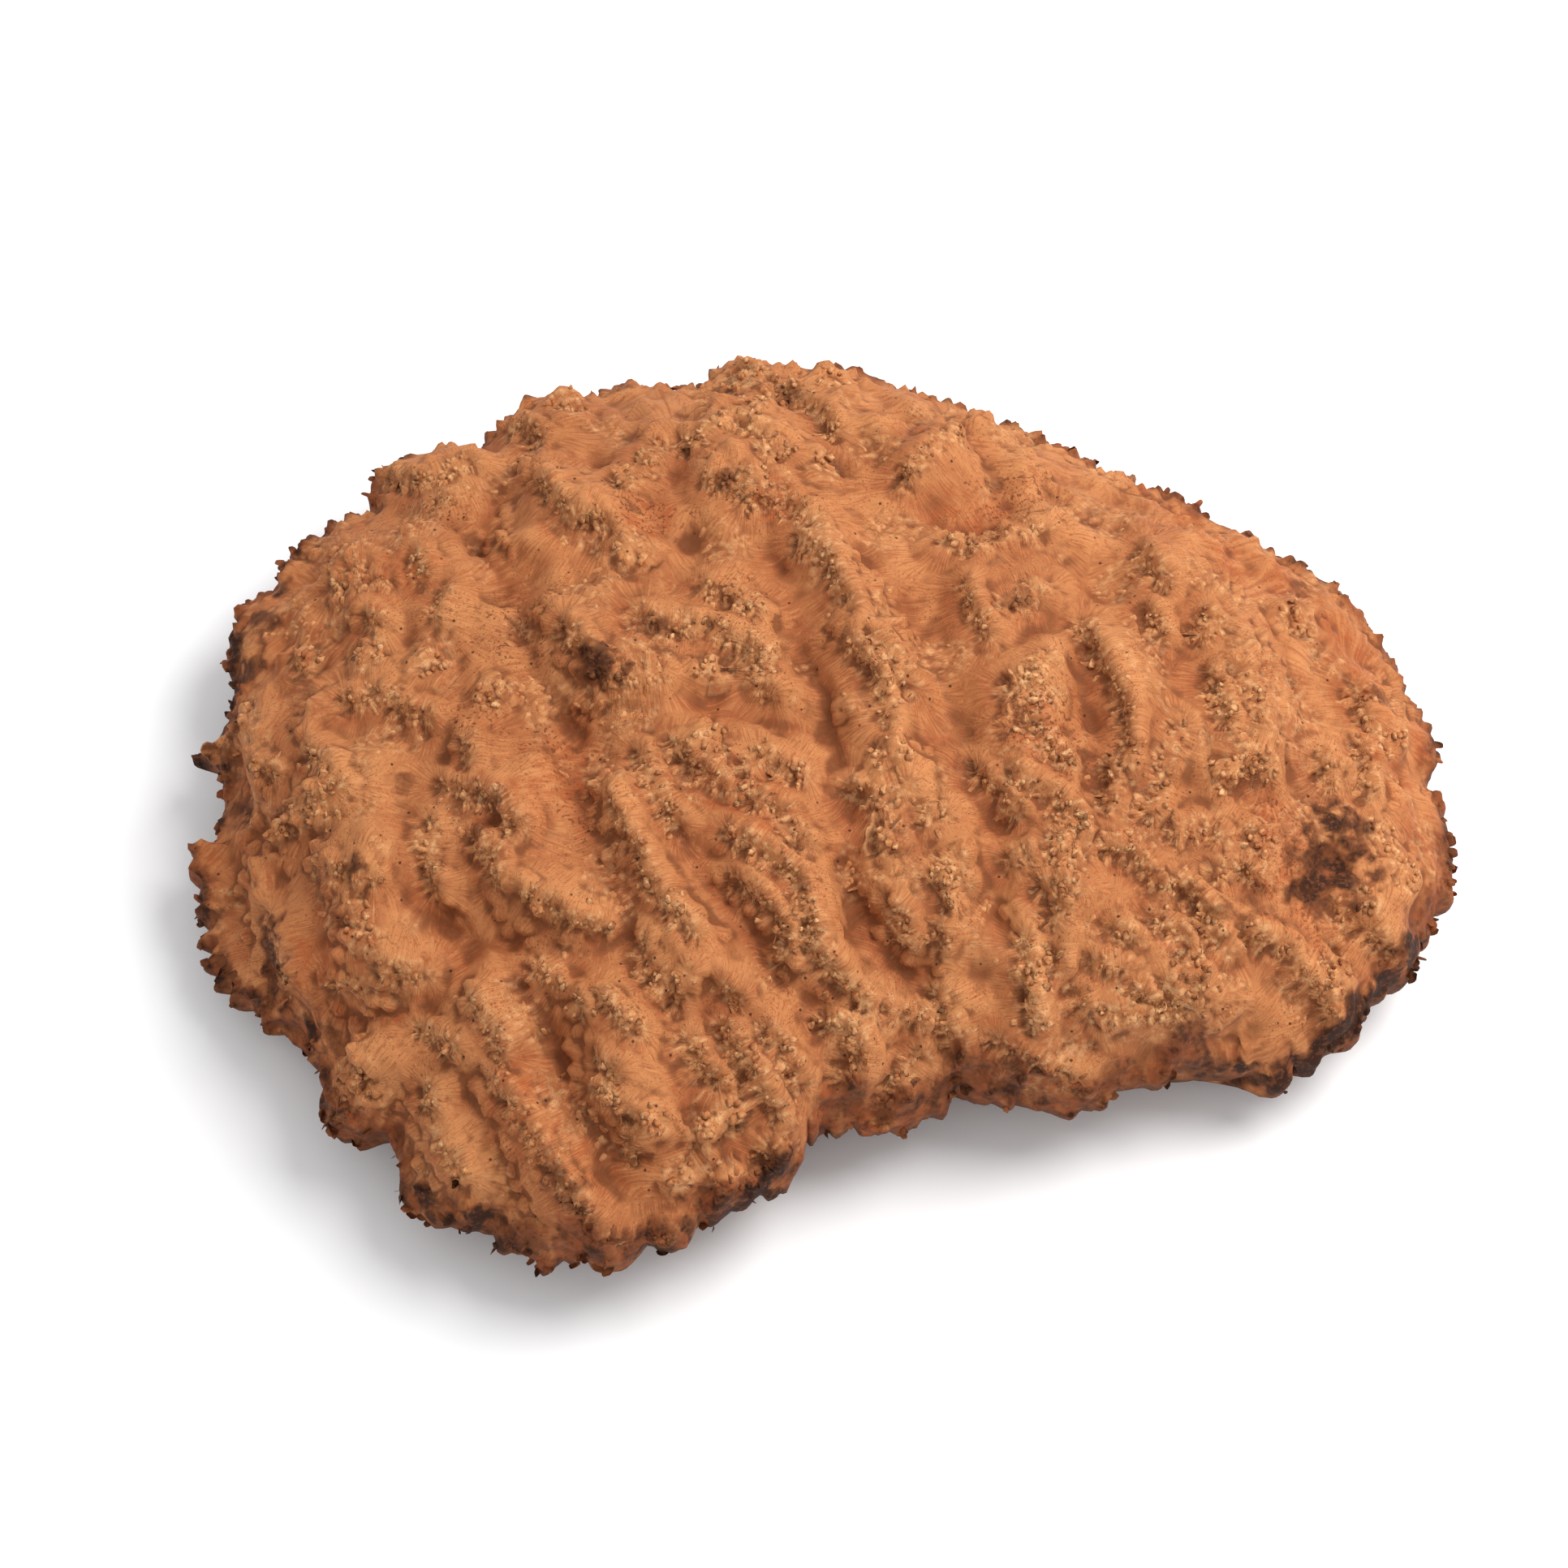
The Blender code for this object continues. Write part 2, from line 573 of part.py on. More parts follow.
def lip(place):
    reach = math.hypot(place.x, place.y)
    place.z = max(place.z - LIP * draw.uniform(*LIP_RANGE), LOWEST_LIP)
    share = (reach + draw.uniform(*LIP_SWAY)) / reach
    place.x *= share
    place.y *= share


lip_height = {}
ring = drawn_down(rim_edges, lip)
for down, inward in TUCK:

    def tuck(place, down=down, inward=inward):
        turn = math.atan2(place.y, place.x)
        key = round(turn, 5)
        start = lip_height.setdefault(key, place.z)
        full = float(reach_at(base_reach, place.x, place.y))
        here = math.hypot(place.x, place.y)
        target = full - BASE_INSET * inward
        if down < 1:
            furrow = noise.noise(Vector((full * turn / BARK_PITCH, down * 2, 4.0)))
            target += BARK_RELIEF * (2 * furrow + draw.uniform(-0.5, 0.5))
        place.z = start * (1 - down)
        place.x *= target / here
        place.y *= target / here

    ring = drawn_down(ring, tuck)
bmesh.ops.edgeloop_fill(solid, edges=ring)
bmesh.ops.triangulate(solid, faces=[face for face in solid.faces if len(face.verts) > 3])
bmesh.ops.scale(solid, vec=(TO_METRES,) * 3, verts=solid.verts[:])
bmesh.ops.recalc_face_normals(solid, faces=solid.faces[:])
for face in solid.faces:
    face.smooth = True

mesh = bpy.data.meshes.new("burl_cap")
solid.to_mesh(mesh)
solid.free()
burl = bpy.data.objects.new("burl_cap", mesh)
bpy.context.scene.collection.objects.link(burl)

wood = bpy.data.materials.new("burl_wood")
wood.use_nodes = True
shader = wood.node_tree.nodes["Principled BSDF"]
shader.inputs["Base Color"].default_value = (0.58, 0.25, 0.105, 1.0)
shader.inputs["Roughness"].default_value = 0.62
shader.inputs["Metallic"].default_value = 0.0
mesh.materials.append(wood)
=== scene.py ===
import math
import random

import bmesh
import bpy
import numpy as np
from mathutils import Matrix, Vector, noise
from mathutils.bvhtree import BVHTree


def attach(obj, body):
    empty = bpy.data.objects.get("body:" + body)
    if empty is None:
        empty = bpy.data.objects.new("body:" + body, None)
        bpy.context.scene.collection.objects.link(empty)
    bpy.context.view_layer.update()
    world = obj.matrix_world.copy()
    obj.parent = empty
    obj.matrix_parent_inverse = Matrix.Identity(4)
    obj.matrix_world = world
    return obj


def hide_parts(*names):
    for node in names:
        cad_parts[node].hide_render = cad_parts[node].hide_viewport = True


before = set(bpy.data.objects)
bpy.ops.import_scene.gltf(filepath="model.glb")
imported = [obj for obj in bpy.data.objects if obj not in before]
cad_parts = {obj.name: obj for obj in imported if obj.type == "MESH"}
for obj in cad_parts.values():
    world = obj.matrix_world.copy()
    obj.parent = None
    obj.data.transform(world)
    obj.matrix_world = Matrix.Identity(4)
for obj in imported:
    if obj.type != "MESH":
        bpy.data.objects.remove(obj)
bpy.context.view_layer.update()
MM = 0.001

# The camera
# The cap is looked down on from in front, far enough away that its lobes keep their proportions.
# The middle of the picture falls a little above and left of the middle of the cap.

VIEW_ANGLE = math.radians(60)
VIEW_DISTANCE = 1500 * MM
VIEW_WIDTH = 483 * MM
VIEW_MIDDLE = (-8.5 * MM, 8.5 * MM)
FACE_HEIGHT = 40 * MM
SENSOR = 36.0

RIGHT = Vector((1, 0, 0))
UP = Vector((0, math.sin(VIEW_ANGLE), math.cos(VIEW_ANGLE)))
BACK = Vector((0, -math.cos(VIEW_ANGLE), math.sin(VIEW_ANGLE)))
MIDDLE = Vector((0, 0, FACE_HEIGHT))
EYE = MIDDLE + VIEW_MIDDLE[0] * RIGHT + VIEW_MIDDLE[1] * UP + VIEW_DISTANCE * BACK

lens = bpy.data.cameras.new("studio_camera")
lens.sensor_width = SENSOR
lens.lens = SENSOR * VIEW_DISTANCE / VIEW_WIDTH
camera = bpy.data.objects.new("studio_camera", lens)
camera.location = EYE
camera.rotation_euler = (math.pi / 2 - VIEW_ANGLE, 0, 0)
bpy.context.scene.collection.objects.link(camera)
bpy.context.scene.camera = camera


# The studio
# A white table top that runs out of the picture, a wide soft light behind and to the right of the
# cap, and white walls that fill the shadows.


def linear(code):
    """A colour of a hex code as the renderer's linear values."""
    parts = [int(code[place : place + 2], 16) / 255 for place in (1, 3, 5)]
    return tuple([p / 12.92 if p <= 0.04045 else ((p + 0.055) / 1.055) ** 2.4 for p in parts] + [1.0])


def add(tree, kind, settings=None, links=None):
    """A node of the tree with its settings, and sockets set to a value or fed by another socket."""
    made = tree.nodes.new(kind)
    for name, value in (settings or {}).items():
        setattr(made, name, value)
    for name, value in (links or {}).items():
        socket = made.inputs[name]
        if isinstance(value, bpy.types.NodeSocket):
            tree.links.new(value, socket)
        else:
            socket.default_value = value
    return made


def new_material(name):
    """A material with its shader only, and its tree."""
    made = bpy.data.materials.new(name)
    made.use_nodes = True
    return made, made.node_tree, made.node_tree.nodes["Principled BSDF"]


FLOOR_SIDE = 6.0
table_sheet = bmesh.new()
bmesh.ops.create_grid(table_sheet, x_segments=2, y_segments=2, size=FLOOR_SIDE / 2)
table_mesh = bpy.data.meshes.new("table_top")
table_sheet.to_mesh(table_mesh)
table_sheet.free()
table_top = bpy.data.objects.new("table_top", table_mesh)
bpy.context.scene.collection.objects.link(table_top)
# Matt white laminate: even, with no gloss of its own.
laminate, tree, shader = new_material("matt_white_laminate")
shader.inputs["Base Color"].default_value = linear("#FBFBFC")
shader.inputs["Roughness"].default_value = 0.9
shader.inputs["Specular IOR Level"].default_value = 0.1
table_mesh.materials.append(laminate)

KEY_PLACE = Vector((0.72, 0.25, 1.2))
KEY_SIZE = 0.95
KEY_POWER = 18.5
softbox = bpy.data.lights.new("softbox", "AREA")
softbox.shape = "DISK"
softbox.size = KEY_SIZE
softbox.energy = KEY_POWER
softbox.color = (1.0, 0.985, 0.96)
key = bpy.data.objects.new("softbox", softbox)
key.location = KEY_PLACE
key.rotation_euler = (MIDDLE - KEY_PLACE).to_track_quat("-Z", "Y").to_euler()
bpy.context.scene.collection.objects.link(key)

WALL_GLOW = 0.79
walls = bpy.data.worlds.new("white_studio")
walls.use_nodes = True
walls.node_tree.nodes["Background"].inputs["Color"].default_value = (0.985, 0.99, 1.0, 1.0)
walls.node_tree.nodes["Background"].inputs["Strength"].default_value = WALL_GLOW
bpy.context.scene.world = walls
bpy.context.scene.view_settings.view_transform = "Standard"


# The surface of the burl
# One block of eucalypt burl wood with its bark off. Along the crests of its lobes stand rows of bud
# pips, and short toes of wood run down from them into smooth valleys with hair-fine grain.

# Crests, as places on the face of the cap: millimetres to the right and up from its middle.
CRESTS = [
    [(-63, 5), (-58, -4), (-53, -12), (-50, -22), (-43, -29), (-36, -36)],
    [(-53, 18), (-47, 6), (-40, -4)],
    [(-42, 22), (-36, 14), (-26, 8), (-16, 6)],
    [(-20, 14), (-14, 18), (-8, 13), (-2, 12)],
    [(-26, -6), (-14, -12), (-4, -20), (0, -32), (1, -42), (10, -52), (16, -58)],
    [(-18, 3), (-9, 1), (-2, -10)],
    [(-22, -22), (-15, -27), (-8, -36), (-8, -46)],
    [(5, -66), (12, -66), (15, -72), (10, -82)],
    [(12, 8), (20, 4), (30, 8)],
    [(12, 54), (17, 47), (22, 40), (24, 30)],
    [(20, 54), (26, 46), (32, 38)],
    [(-4, 84), (4, 80), (8, 72), (12, 64)],
    [(-30, 57), (-20, 52), (-14, 47), (-18, 41), (-12, 37)],
    [(-75, 56), (-68, 50), (-64, 42), (-58, 42), (-46, 43)],
    [(-52, 60), (-46, 58), (-36, 58)],
    [(-33, 70), (-24, 66), (-17, 63)],
    [(-33, 102), (-20, 103), (-9, 102)],
    [(-20, 97), (-8, 96), (1, 91)],
    [(-58, 102), (-47, 112), (-40, 115)],
    [(-37, 113), (-30, 120), (-24, 121), (-15, 119)],
    [(-18, 127), (-8, 130), (1, 124)],
    [(4, 123), (8, 117)],
    [(-14, 112), (-8, 111)],
    [(30, 104), (38, 112), (46, 116)],
    [(42, 84), (50, 82), (60, 86), (72, 87)],
    [(48, 70), (50, 62), (54, 56)],
    [(60, 64), (70, 66)],
    [(36, 1), (36, -3), (41, -1)],
    [(45, -14), (40, -21), (42, -28), (47, -22)],
    [(40, -35), (40, -44)],
    [(25, -29), (29, -34), (26, -38), (30, -42)],
    [(27, -62), (33, -64), (38, -60)],
    [(39, -57), (43, -67), (45, -73)],
    [(34, -76), (28, -84), (22, -92)],
    # to the right
    [(74, 48), (67, 42), (62, 38)],
    [(76, 36), (66, 30), (60, 26)],
    [(70, 27), (72, 20), (79, 16)],
    [(52, 12), (57, 8), (63, 1)],
    [(62, 12), (72, 6), (80, 1), (83, -5)],
    [(84, 58), (87, 51), (92, 43), (96, 35), (98, 24), (97, 16)],
    [(92, 14), (91, 3)],
    [(102, 81), (106, 75), (109, 70)],
    [(104, 62), (108, 55)],
    [(114, 26), (109, 18), (108, 8), (105, 0)],
    [(124, 43), (126, 35), (128, 29)],
    [(131, 44), (135, 38), (138, 32)],
    [(120, 55), (126, 58), (122, 62)],
    [(134, 19), (142, 15), (139, 11)],
    [(157, 16), (160, 11), (165, 12)],
    [(168, 38), (171, 30)],
    [(170, 20), (172, 6)],
    [(113, -6), (120, -4), (127, -8)],
    [(125, -19), (132, -18), (138, -21)],
    [(62, -15), (66, -13)],
    [(74, -11), (79, -15), (84, -13)],
    [(72, -23), (78, -21), (83, -23)],
    [(77, -28), (75, -33)],
    [(75, -7), (82, -3)],
    [(92, -10), (100, -13), (108, -22)],
    [(112, -20), (122, -30)],
    [(94, -36), (100, -39)],
    [(107, -33), (116, -39)],
    [(121, -36), (129, -42)],
    [(66, -40), (68, -48), (67, -56), (69, -66)],
    [(75, -44), (76, -48)],
    [(88, -47), (96, -47)],
    [(82, -56), (84, -60)],
    [(100, -55), (106, -58)],
    [(110, -54), (114, -60)],
    [(120, -52), (124, -58)],
    [(88, -64), (98, -61), (108, -63), (118, -61)],
    [(58, -72), (66, -76), (76, -80), (84, -86)],
    [(137, -38), (147, -42)],
    [(150, -48), (158, -55), (160, -64)],
    [(172, -36), (178, -44)],
    # to the left
    [(-113, 8), (-104, 7), (-97, 4), (-91, -4)],
    [(-104, -7), (-98, -14), (-97, -21)],
    [(-90, -24), (-84, -28), (-75, -33), (-63, -36)],
    [(-117, -2), (-117, -10), (-118, -18), (-116, -23)],
    [(-107, 22), (-106, 16)],
    [(-142, 34), (-134, 37), (-126, 32), (-118, 30)],
    [(-137, 61), (-134, 60)],
    [(-113, 68), (-116, 60)],
    [(-122, 80), (-120, 73)],
    [(-142, 76), (-137, 77)],
    [(-147, 70), (-130, 72)],
    [(-84, 103), (-74, 92), (-63, 89)],
    [(-92, 118), (-86, 119), (-84, 115)],
    [(-128, 103), (-120, 102), (-105, 108)],
    [(-155, 18), (-149, 16)],
    [(-172, 14), (-166, 13)],
    [(-155, 4), (-150, 3), (-146, 8)],
    [(-148, -18), (-140, -17), (-135, -20)],
    [(-132, -48), (-125, -50), (-119, -50)],
    [(-146, -54), (-137, -54)],
    [(-167, -34), (-166, -42), (-163, -50)],
    [(-120, -67), (-110, -72)],
    [(-105, -57), (-101, -64), (-97, -70), (-95, -75)],
    [(-84, -48), (-78, -53), (-71, -59)],
    [(-66, -54), (-58, -64), (-53, -67)],
    [(-66, -77), (-60, -80)],
    [(-68, -85), (-62, -87), (-56, -92)],
    [(-56, -100), (-54, -106)],
    [(-99, -82), (-92, -89), (-88, -97), (-82, -107), (-74, -118), (-67, -128)],
    [(-118, -86), (-118, -90)],
    [(-115, -101), (-111, -106), (-108, -112)],
    [(-52, -40), (-50, -46), (-47, -52), (-42, -57)],
    [(-38, -50), (-40, -54)],
    [(-28, -54), (-23, -57)],
    [(-37, -70), (-33, -78), (-29, -82)],
    [(-27, -66), (-22, -74), (-16, -83), (-10, -92)],
    [(-12, -68), (-7, -76), (-2, -84)],
    [(-68, -131), (-56, -133), (-45, -131)],
    [(-30, -118), (-18, -115), (-12, -105)],
    [(-140, -80), (-136, -84)],
    [(-140, -90), (-146, -93)],
]
# Knobs crowned with pips, and stains, scorch marks and pale places: right, up, radius.
KNOBS = [
    (-31, 21, 7), (24, 18, 7), (-31, 44, 5), (-56, 81, 6), (-20, 134, 10), (6, 132, 8),
    (3, 107, 5), (128, 12, 7), (138, -9, 6), (117, -48, 7), (137, -38, 4), (22, -8, 5),
    (-157, 48, 6), (-137, 48, 6), (-118, 46, 6), (-75, 125, 8), (-98, 37, 6),
    (-160, -2, 5), (-152, -3, 5), (-166, -6, 5), (-142, -30, 6), (-139, -39, 5), (-48, -95, 6),
    (-33, -96, 5), (-24, -94, 5), (-33, -101, 5), (-28, -112, 5), (-40, -112, 6),
    (178, 22, 7), (182, -20, 7), (160, -50, 9), (176, -8, 8), (168, -30, 8), (150, 60, 7),
]
DARK = [
    (-66, 46, 10), (-78, 33, 5), (-74, 22, 5), (-37, 84, 5), (-49, 57, 6), (-103, -6, 5), (-90, -5, 5),
    (-98, 4, 4), (-125, 9, 4), (-141, -17, 7), (-142, -30, 4), (-167, -42, 10), (-165, -52, 7),
    (-146, -70, 6), (-153, -88, 8), (-103, 84, 5), (-80, -110, 7), (-74, -117, 7), (-54, -106, 4),
    (-3, -22, 4), (-36, -126, 9), (-15, -117, 10), (-104, -127, 9), (5, -99, 5), (66, 64, 5),
    (86, 90, 5), (-6, 127, 6), (-24, 103, 5), (160, -10, 14), (152, -20, 11), (165, -17, 11),
    (169, -4, 9), (160, -3, 10), (168, -27, 8), (158, -30, 7), (146, -26, 7), (136, -28, 6),
    (128, -29, 5), (155, -76, 12), (140, -82, 12), (168, -62, 11), (185, -42, 10), (122, -82, 8),
    (130, -86, 10), (148, -80, 11), (162, -70, 11), (177, -53, 10), (-170, 60, 9), (-173, 45, 9),
    (-160, 76, 6), (-182, 18, 8), (-175, 0, 9), (138, 80, 5), (-60, 130, 5), (-190, 14, 11),
    (-183, -2, 6), (-166, 68, 8), (-177, 52, 9), (-179, 38, 9), (-181, 28, 8), (-152, -66, 8),
    (-8, -108, 8), (-24, -128, 9), (-46, -137, 8), (-188, -30, 7), (-184, -50, 7), (-120, -120, 7),
    (108, 96, 6), (150, 68, 6), (176, 36, 6),
]
RED = [
    (48, 90, 12), (178, 20, 12), (160, 54, 14), (-75, 10, 16), (-182, -50, 14), (-90, -85, 12),
    (117, -47, 8), (-10, 97, 10), (-190, -25, 14), (150, -18, 22), (-88, -95, 12),
    (-165, 55, 12), (60, -75, 12), (-50, 90, 10), (-78, -105, 14), (-95, 0, 14), (-20, 0, 16),
    (-150, -45, 16), (130, 78, 12), (-130, 75, 16), (70, 25, 14), (190, 20, 12), (192, -12, 12),
    (188, -36, 12), (112, 94, 12), (148, 70, 12), (172, 42, 12), (-168, 66, 14), (-182, 34, 14),
]
PALE = [
    (-187, 1, 5), (-178, -60, 7), (67, 42, 7), (70, 26, 6), (1, -42, 6), (-31, 44, 4),
    (-18, 50, 8), (2, 84, 10), (70, -60, 9), (8, -67, 7), (105, -60, 14), (75, -80, 12),
    (-24, 134, 8), (90, 104, 7), (150, 30, 14), (20, -60, 8), (-98, -68, 6), (68, -48, 8),
]
SPECKLED = [
    (-90, 55, 16), (-115, 92, 12), (-80, 20, 12), (-50, 90, 14), (150, -15, 26), (-70, 0, 10),
    (-22, 62, 14), (75, 25, 20), (-104, 30, 12), (60, 95, 16),
]
LAID_SPACING = 8.0
LOWEST_RIM = 5 * MM

cad_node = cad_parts["burl_cap"]
block = bmesh.new()
block.from_mesh(cad_node.data)
bmesh.ops.remove_doubles(block, verts=block.verts[:], dist=1e-6)
block_tree = BVHTree.FromBMesh(block)
block_corners = np.array([corner.co for corner in block.verts if corner.co.z > LOWEST_RIM])
from_eye = block_corners - np.array(EYE)
depths = -from_eye @ np.array(BACK) / VIEW_DISTANCE
seen_across = from_eye @ np.array(RIGHT) / depths + VIEW_MIDDLE[0]
seen_up = from_eye @ np.array(UP) / depths + VIEW_MIDDLE[1]


def on_face(across, up):
    """The point of the block behind a place on its face, or the rim's nearest corner beside it."""
    sight = MIDDLE + across * MM * RIGHT + up * MM * UP - EYE
    found = block_tree.ray_cast(EYE, sight.normalized())[0]
    if found is None or found.z < LOWEST_RIM:
        beside = np.hypot(seen_across - across * MM, seen_up - up * MM)
        found = block_corners[np.argmin(beside)]
    return np.array(found)


def laid(line):
    """A crest line laid on the block, with points a few millimetres apart."""
    places = []
    for start, end in zip(line[:-1], line[1:]):
        stretches = max(1, round(math.dist(start, end) / LAID_SPACING))
        for number in range(stretches):
            share = number / stretches
            places.append([a + (b - a) * share for a, b in zip(start, end)])
    places.append(line[-1])
    return np.array([on_face(*place) for place in places])


crest_lines = [laid(line) for line in CRESTS]
knob_places = [(on_face(across, up), radius * MM) for across, up, radius in KNOBS]

# The block's skin is divided until its corners lie about a millimetre apart, then its facets are
# rounded off. The sawn face keeps its few large facets.
FACET_ROUNDS = 9
RIM_BAND = 5 * MM
RIM_EASE = 0.25
SAWN_HEIGHT = 0.3 * MM
for attempt in range(2):
    fine_edges = [e for e in block.edges if max(v.co.z for v in e.verts) > SAWN_HEIGHT]
    bmesh.ops.subdivide_edges(block, edges=fine_edges, cuts=1, use_grid_fill=True)
    bmesh.ops.triangulate(block, faces=[face for face in block.faces if len(face.verts) > 3])
skin = bpy.data.meshes.new("burl_skin")
block.to_mesh(skin)
block.free()


def read(mesh, data, name, width, kind=np.float64):
    """One of the mesh's lists as an array."""
    items = getattr(mesh, data)
    values = np.empty(len(items) * width, kind)
    items.foreach_get(name, values)
    return values.reshape(-1, width) if width > 1 else values


ends = read(skin, "edges", "vertices", 2, np.int32)
corners = read(skin, "vertices", "co", 3)
corner_count = len(corners)
neighbours = np.bincount(ends.ravel(), minlength=corner_count)


def mean_around(values):
    """The mean of each corner's neighbours."""
    if values.ndim == 1:
        total = np.bincount(ends[:, 0], values[ends[:, 1]], corner_count)
        total += np.bincount(ends[:, 1], values[ends[:, 0]], corner_count)
        return total / neighbours
    return np.stack([mean_around(column) for column in values.T], axis=1)


def bearings(points):
    """How far each point lies from the middle, and in which whole degree round it."""
    degree = (np.degrees(np.arctan2(points[:, 1], points[:, 0])) % 360).astype(int)
    return np.hypot(points[:, 0], points[:, 1]), degree


def outline(points):
    """How far the points reach out in each degree."""
    reach, degree = bearings(points)
    farthest = np.zeros(360)
    np.maximum.at(farthest, degree, reach)
    return farthest


def inside(points, rim):
    """How far each point lies inside an outline."""
    reach, degree = bearings(points)
    return rim[degree] - reach


free = (corners[:, 2] > SAWN_HEIGHT).astype(float)[:, None]
sharp_rim = np.where(inside(corners, outline(corners)) < RIM_BAND, RIM_EASE, 1.0)[:, None]
for turn in range(FACET_ROUNDS):
    corners += free * sharp_rim * 0.5 * (mean_around(corners) - corners)


def face_ways(places):
    """Which way the skin faces at each corner."""
    skin.vertices.foreach_set("co", places.ravel())
    skin.update()
    return read(skin, "vertices", "normal", 3)


ways = face_ways(corners)


def nearest_crest(points):
    """For each point its distance from a crest, its place along it, which crest, and its bank.

    The bank is 1 on the smooth side of a crest, to the right and up, and -1 on its steep side.
    """
    near = np.full(len(points), np.inf)
    along_crest = np.zeros(len(points))
    which = np.zeros(len(points))
    bank = np.zeros(len(points))
    for number, line in enumerate(crest_lines):
        run = 0.0
        for start, end in zip(line[:-1], line[1:]):
            way = end - start
            length = max(float(np.linalg.norm(way)), 1e-6)
            way = way / length
            offset = points - start
            at = offset @ way
            held = np.clip(at, 0, length)
            gap = offset - held[:, None] * way
            distance = np.linalg.norm(gap, axis=1)
            closer = distance < near
            past = (at - held)[closer]
            beside = np.sqrt(np.maximum(distance[closer] ** 2 - past**2, 0))
            near[closer] = distance[closer]
            along_crest[closer] = run + held[closer] + END_TURN * np.arctan2(past, beside + 1e-6)
            side = np.sign(gap[closer, 0] * way[1] - gap[closer, 1] * way[0])
            which[closer] = 3 * number + side
            bank[closer] = gap[closer] @ SMOOTH_SIDE / (distance[closer] + 1e-6)
            run += length
    return near, along_crest, which, bank


END_TURN = 7 * MM
SMOOTH_SIDE = np.array((0.92, 0.39, 0.0))
CREST_WAY = np.array((-0.39, 0.92, 0.0))
near, along_crest, which, bank = nearest_crest(corners)
for middle, radius in knob_places:
    distance = np.linalg.norm(corners - middle, axis=1)
    near = np.minimum(near, np.maximum(distance - 0.5 * radius, 0) + 0.2 * MM)

# Each crest leans: its smooth bank is full, and its steep bank is undercut. It is broken into lumps,
# and small lumps also stand scattered on the open ground.
BANK_HEIGHT = 1.4 * MM
BANK_WIDTH = 8 * MM
LUMP_WIDTH = 7.5 * MM
LUMP_HEIGHT = 1.3 * MM
FOLD_HEIGHT = 3.0 * MM
FOLD_WIDTH = 10 * MM
FOLD_LENGTH = 26 * MM
LUMP_REACH = 11 * MM
SHOULDER_TOOTH = 4.2 * MM
SHOULDER_PITCH = 5.5 * MM
CRUMB_WIDTH = 2.3 * MM
CRUMB_HEIGHT = 0.4 * MM
CREST_WIDTH = 5.5 * MM
COMB_PITCH = 2.7 * MM
COMB_HEIGHT = 1.5 * MM
COMB_END = 9 * MM
COMB_WARP = 1.2 * MM
PATCH_SIZE = 15 * MM
RIPPLE = 0.35 * MM
FURROW_HEIGHT = 1.1 * MM
FURROW_WIDTHS = (5 * MM, 2.4 * MM)
MEAN_RADIUS = 170 * MM


def step(values, low, high):
    """The values turned into a smooth rise from 0 to 1 between two limits."""
    share = np.clip((values - low) / (high - low), 0, 1)
    return share * share * (3 - 2 * share)


def waves(points, size, turn=0.0):
    """Soft noise from -1 to 1 with waves of this size."""
    shift = Vector((turn, 2 * turn, 3 * turn))
    return np.array([noise.noise(Vector(point) / size + shift) for point in points])


def cells(points, size):
    """Distance from the nearest seed of a scatter with this spacing, in spacings."""
    return np.array([noise.voronoi(Vector(point) / size)[0][0] for point in points])


top = step(ways[:, 2], -0.25, 0.15) * step(corners[:, 2], 8 * MM, 16 * MM)
patches = waves(corners, PATCH_SIZE)
crest_zone = 1 - step(near + 2 * MM * patches, 0.3 * CREST_WIDTH, CREST_WIDTH)
open_ground = step(near, 4 * MM, 8 * MM)
stray_zone = 0.6 * step(waves(corners, 1.2 * PATCH_SIZE, 5.0), 0.1, 0.3) * open_ground
pip_zone = np.maximum(crest_zone, stray_zone)
crumbs = np.clip(1 - (cells(corners, CRUMB_WIDTH) / 0.62) ** 2, 0, 1)
warp = COMB_WARP * waves(corners, 5 * MM, 9.0)
toe_places = [(along_crest + warp) / COMB_PITCH, near / (2 * COMB_PITCH), 7.0 * which]
toe_wave = step(waves(np.stack(toe_places, axis=1) * MM, 1 * MM), -0.35, 0.35)
toe_zone = 0.4 + 0.6 * step(near, 0.5 * MM, 3 * MM)
toe_zone = toe_zone * (1 - step(near + 2.5 * MM * patches, 0.4 * COMB_END, COMB_END))
toe_patches = 0.35 + 0.65 * step(waves(corners, 12 * MM, 2.0), -0.2, 0.2)
toe_zone *= (0.3 + 0.7 * step(-bank, -0.3, 0.5)) * toe_patches
banked = np.clip(near / (2 * MM), 0, 1) * (1 - step(near, 3 * MM, BANK_WIDTH))
lump_zone = 1 - step(near + 4 * MM * patches, 0.4 * LUMP_REACH, LUMP_REACH)
lump_zone = np.maximum(lump_zone, 0.8 * stray_zone)
lift = BANK_HEIGHT * bank * banked
along_fold = corners @ CREST_WAY * FOLD_WIDTH / FOLD_LENGTH
folds = np.stack([corners @ SMOOTH_SIDE, along_fold, corners[:, 2]], axis=1)
lift += FOLD_HEIGHT * waves(folds, FOLD_WIDTH, 6.0) * step(near, 5 * MM, 12 * MM)
shoulder = step(ways[:, 2], 0.2, 0.4) * (1 - step(ways[:, 2], 0.6, 0.8))
shoulder = shoulder * step(np.maximum(ways[:, 1], -ways[:, 0]), 0.0, 0.3)
teeth = np.clip(1 - cells(corners, SHOULDER_PITCH) / 0.6, 0, 1)
lumps = np.clip(1 - (cells(corners, LUMP_WIDTH) / 0.7) ** 2, 0, 1)
lift += SHOULDER_TOOTH * shoulder * (teeth - 0.2)
lift += LUMP_HEIGHT * lump_zone * (lumps - 0.5)
lift += CRUMB_HEIGHT * pip_zone * (crumbs - 0.4)
lift += COMB_HEIGHT * toe_zone * (toe_wave - 0.5)
lift += RIPPLE * waves(corners, 4 * MM, 3.0)
lift *= top
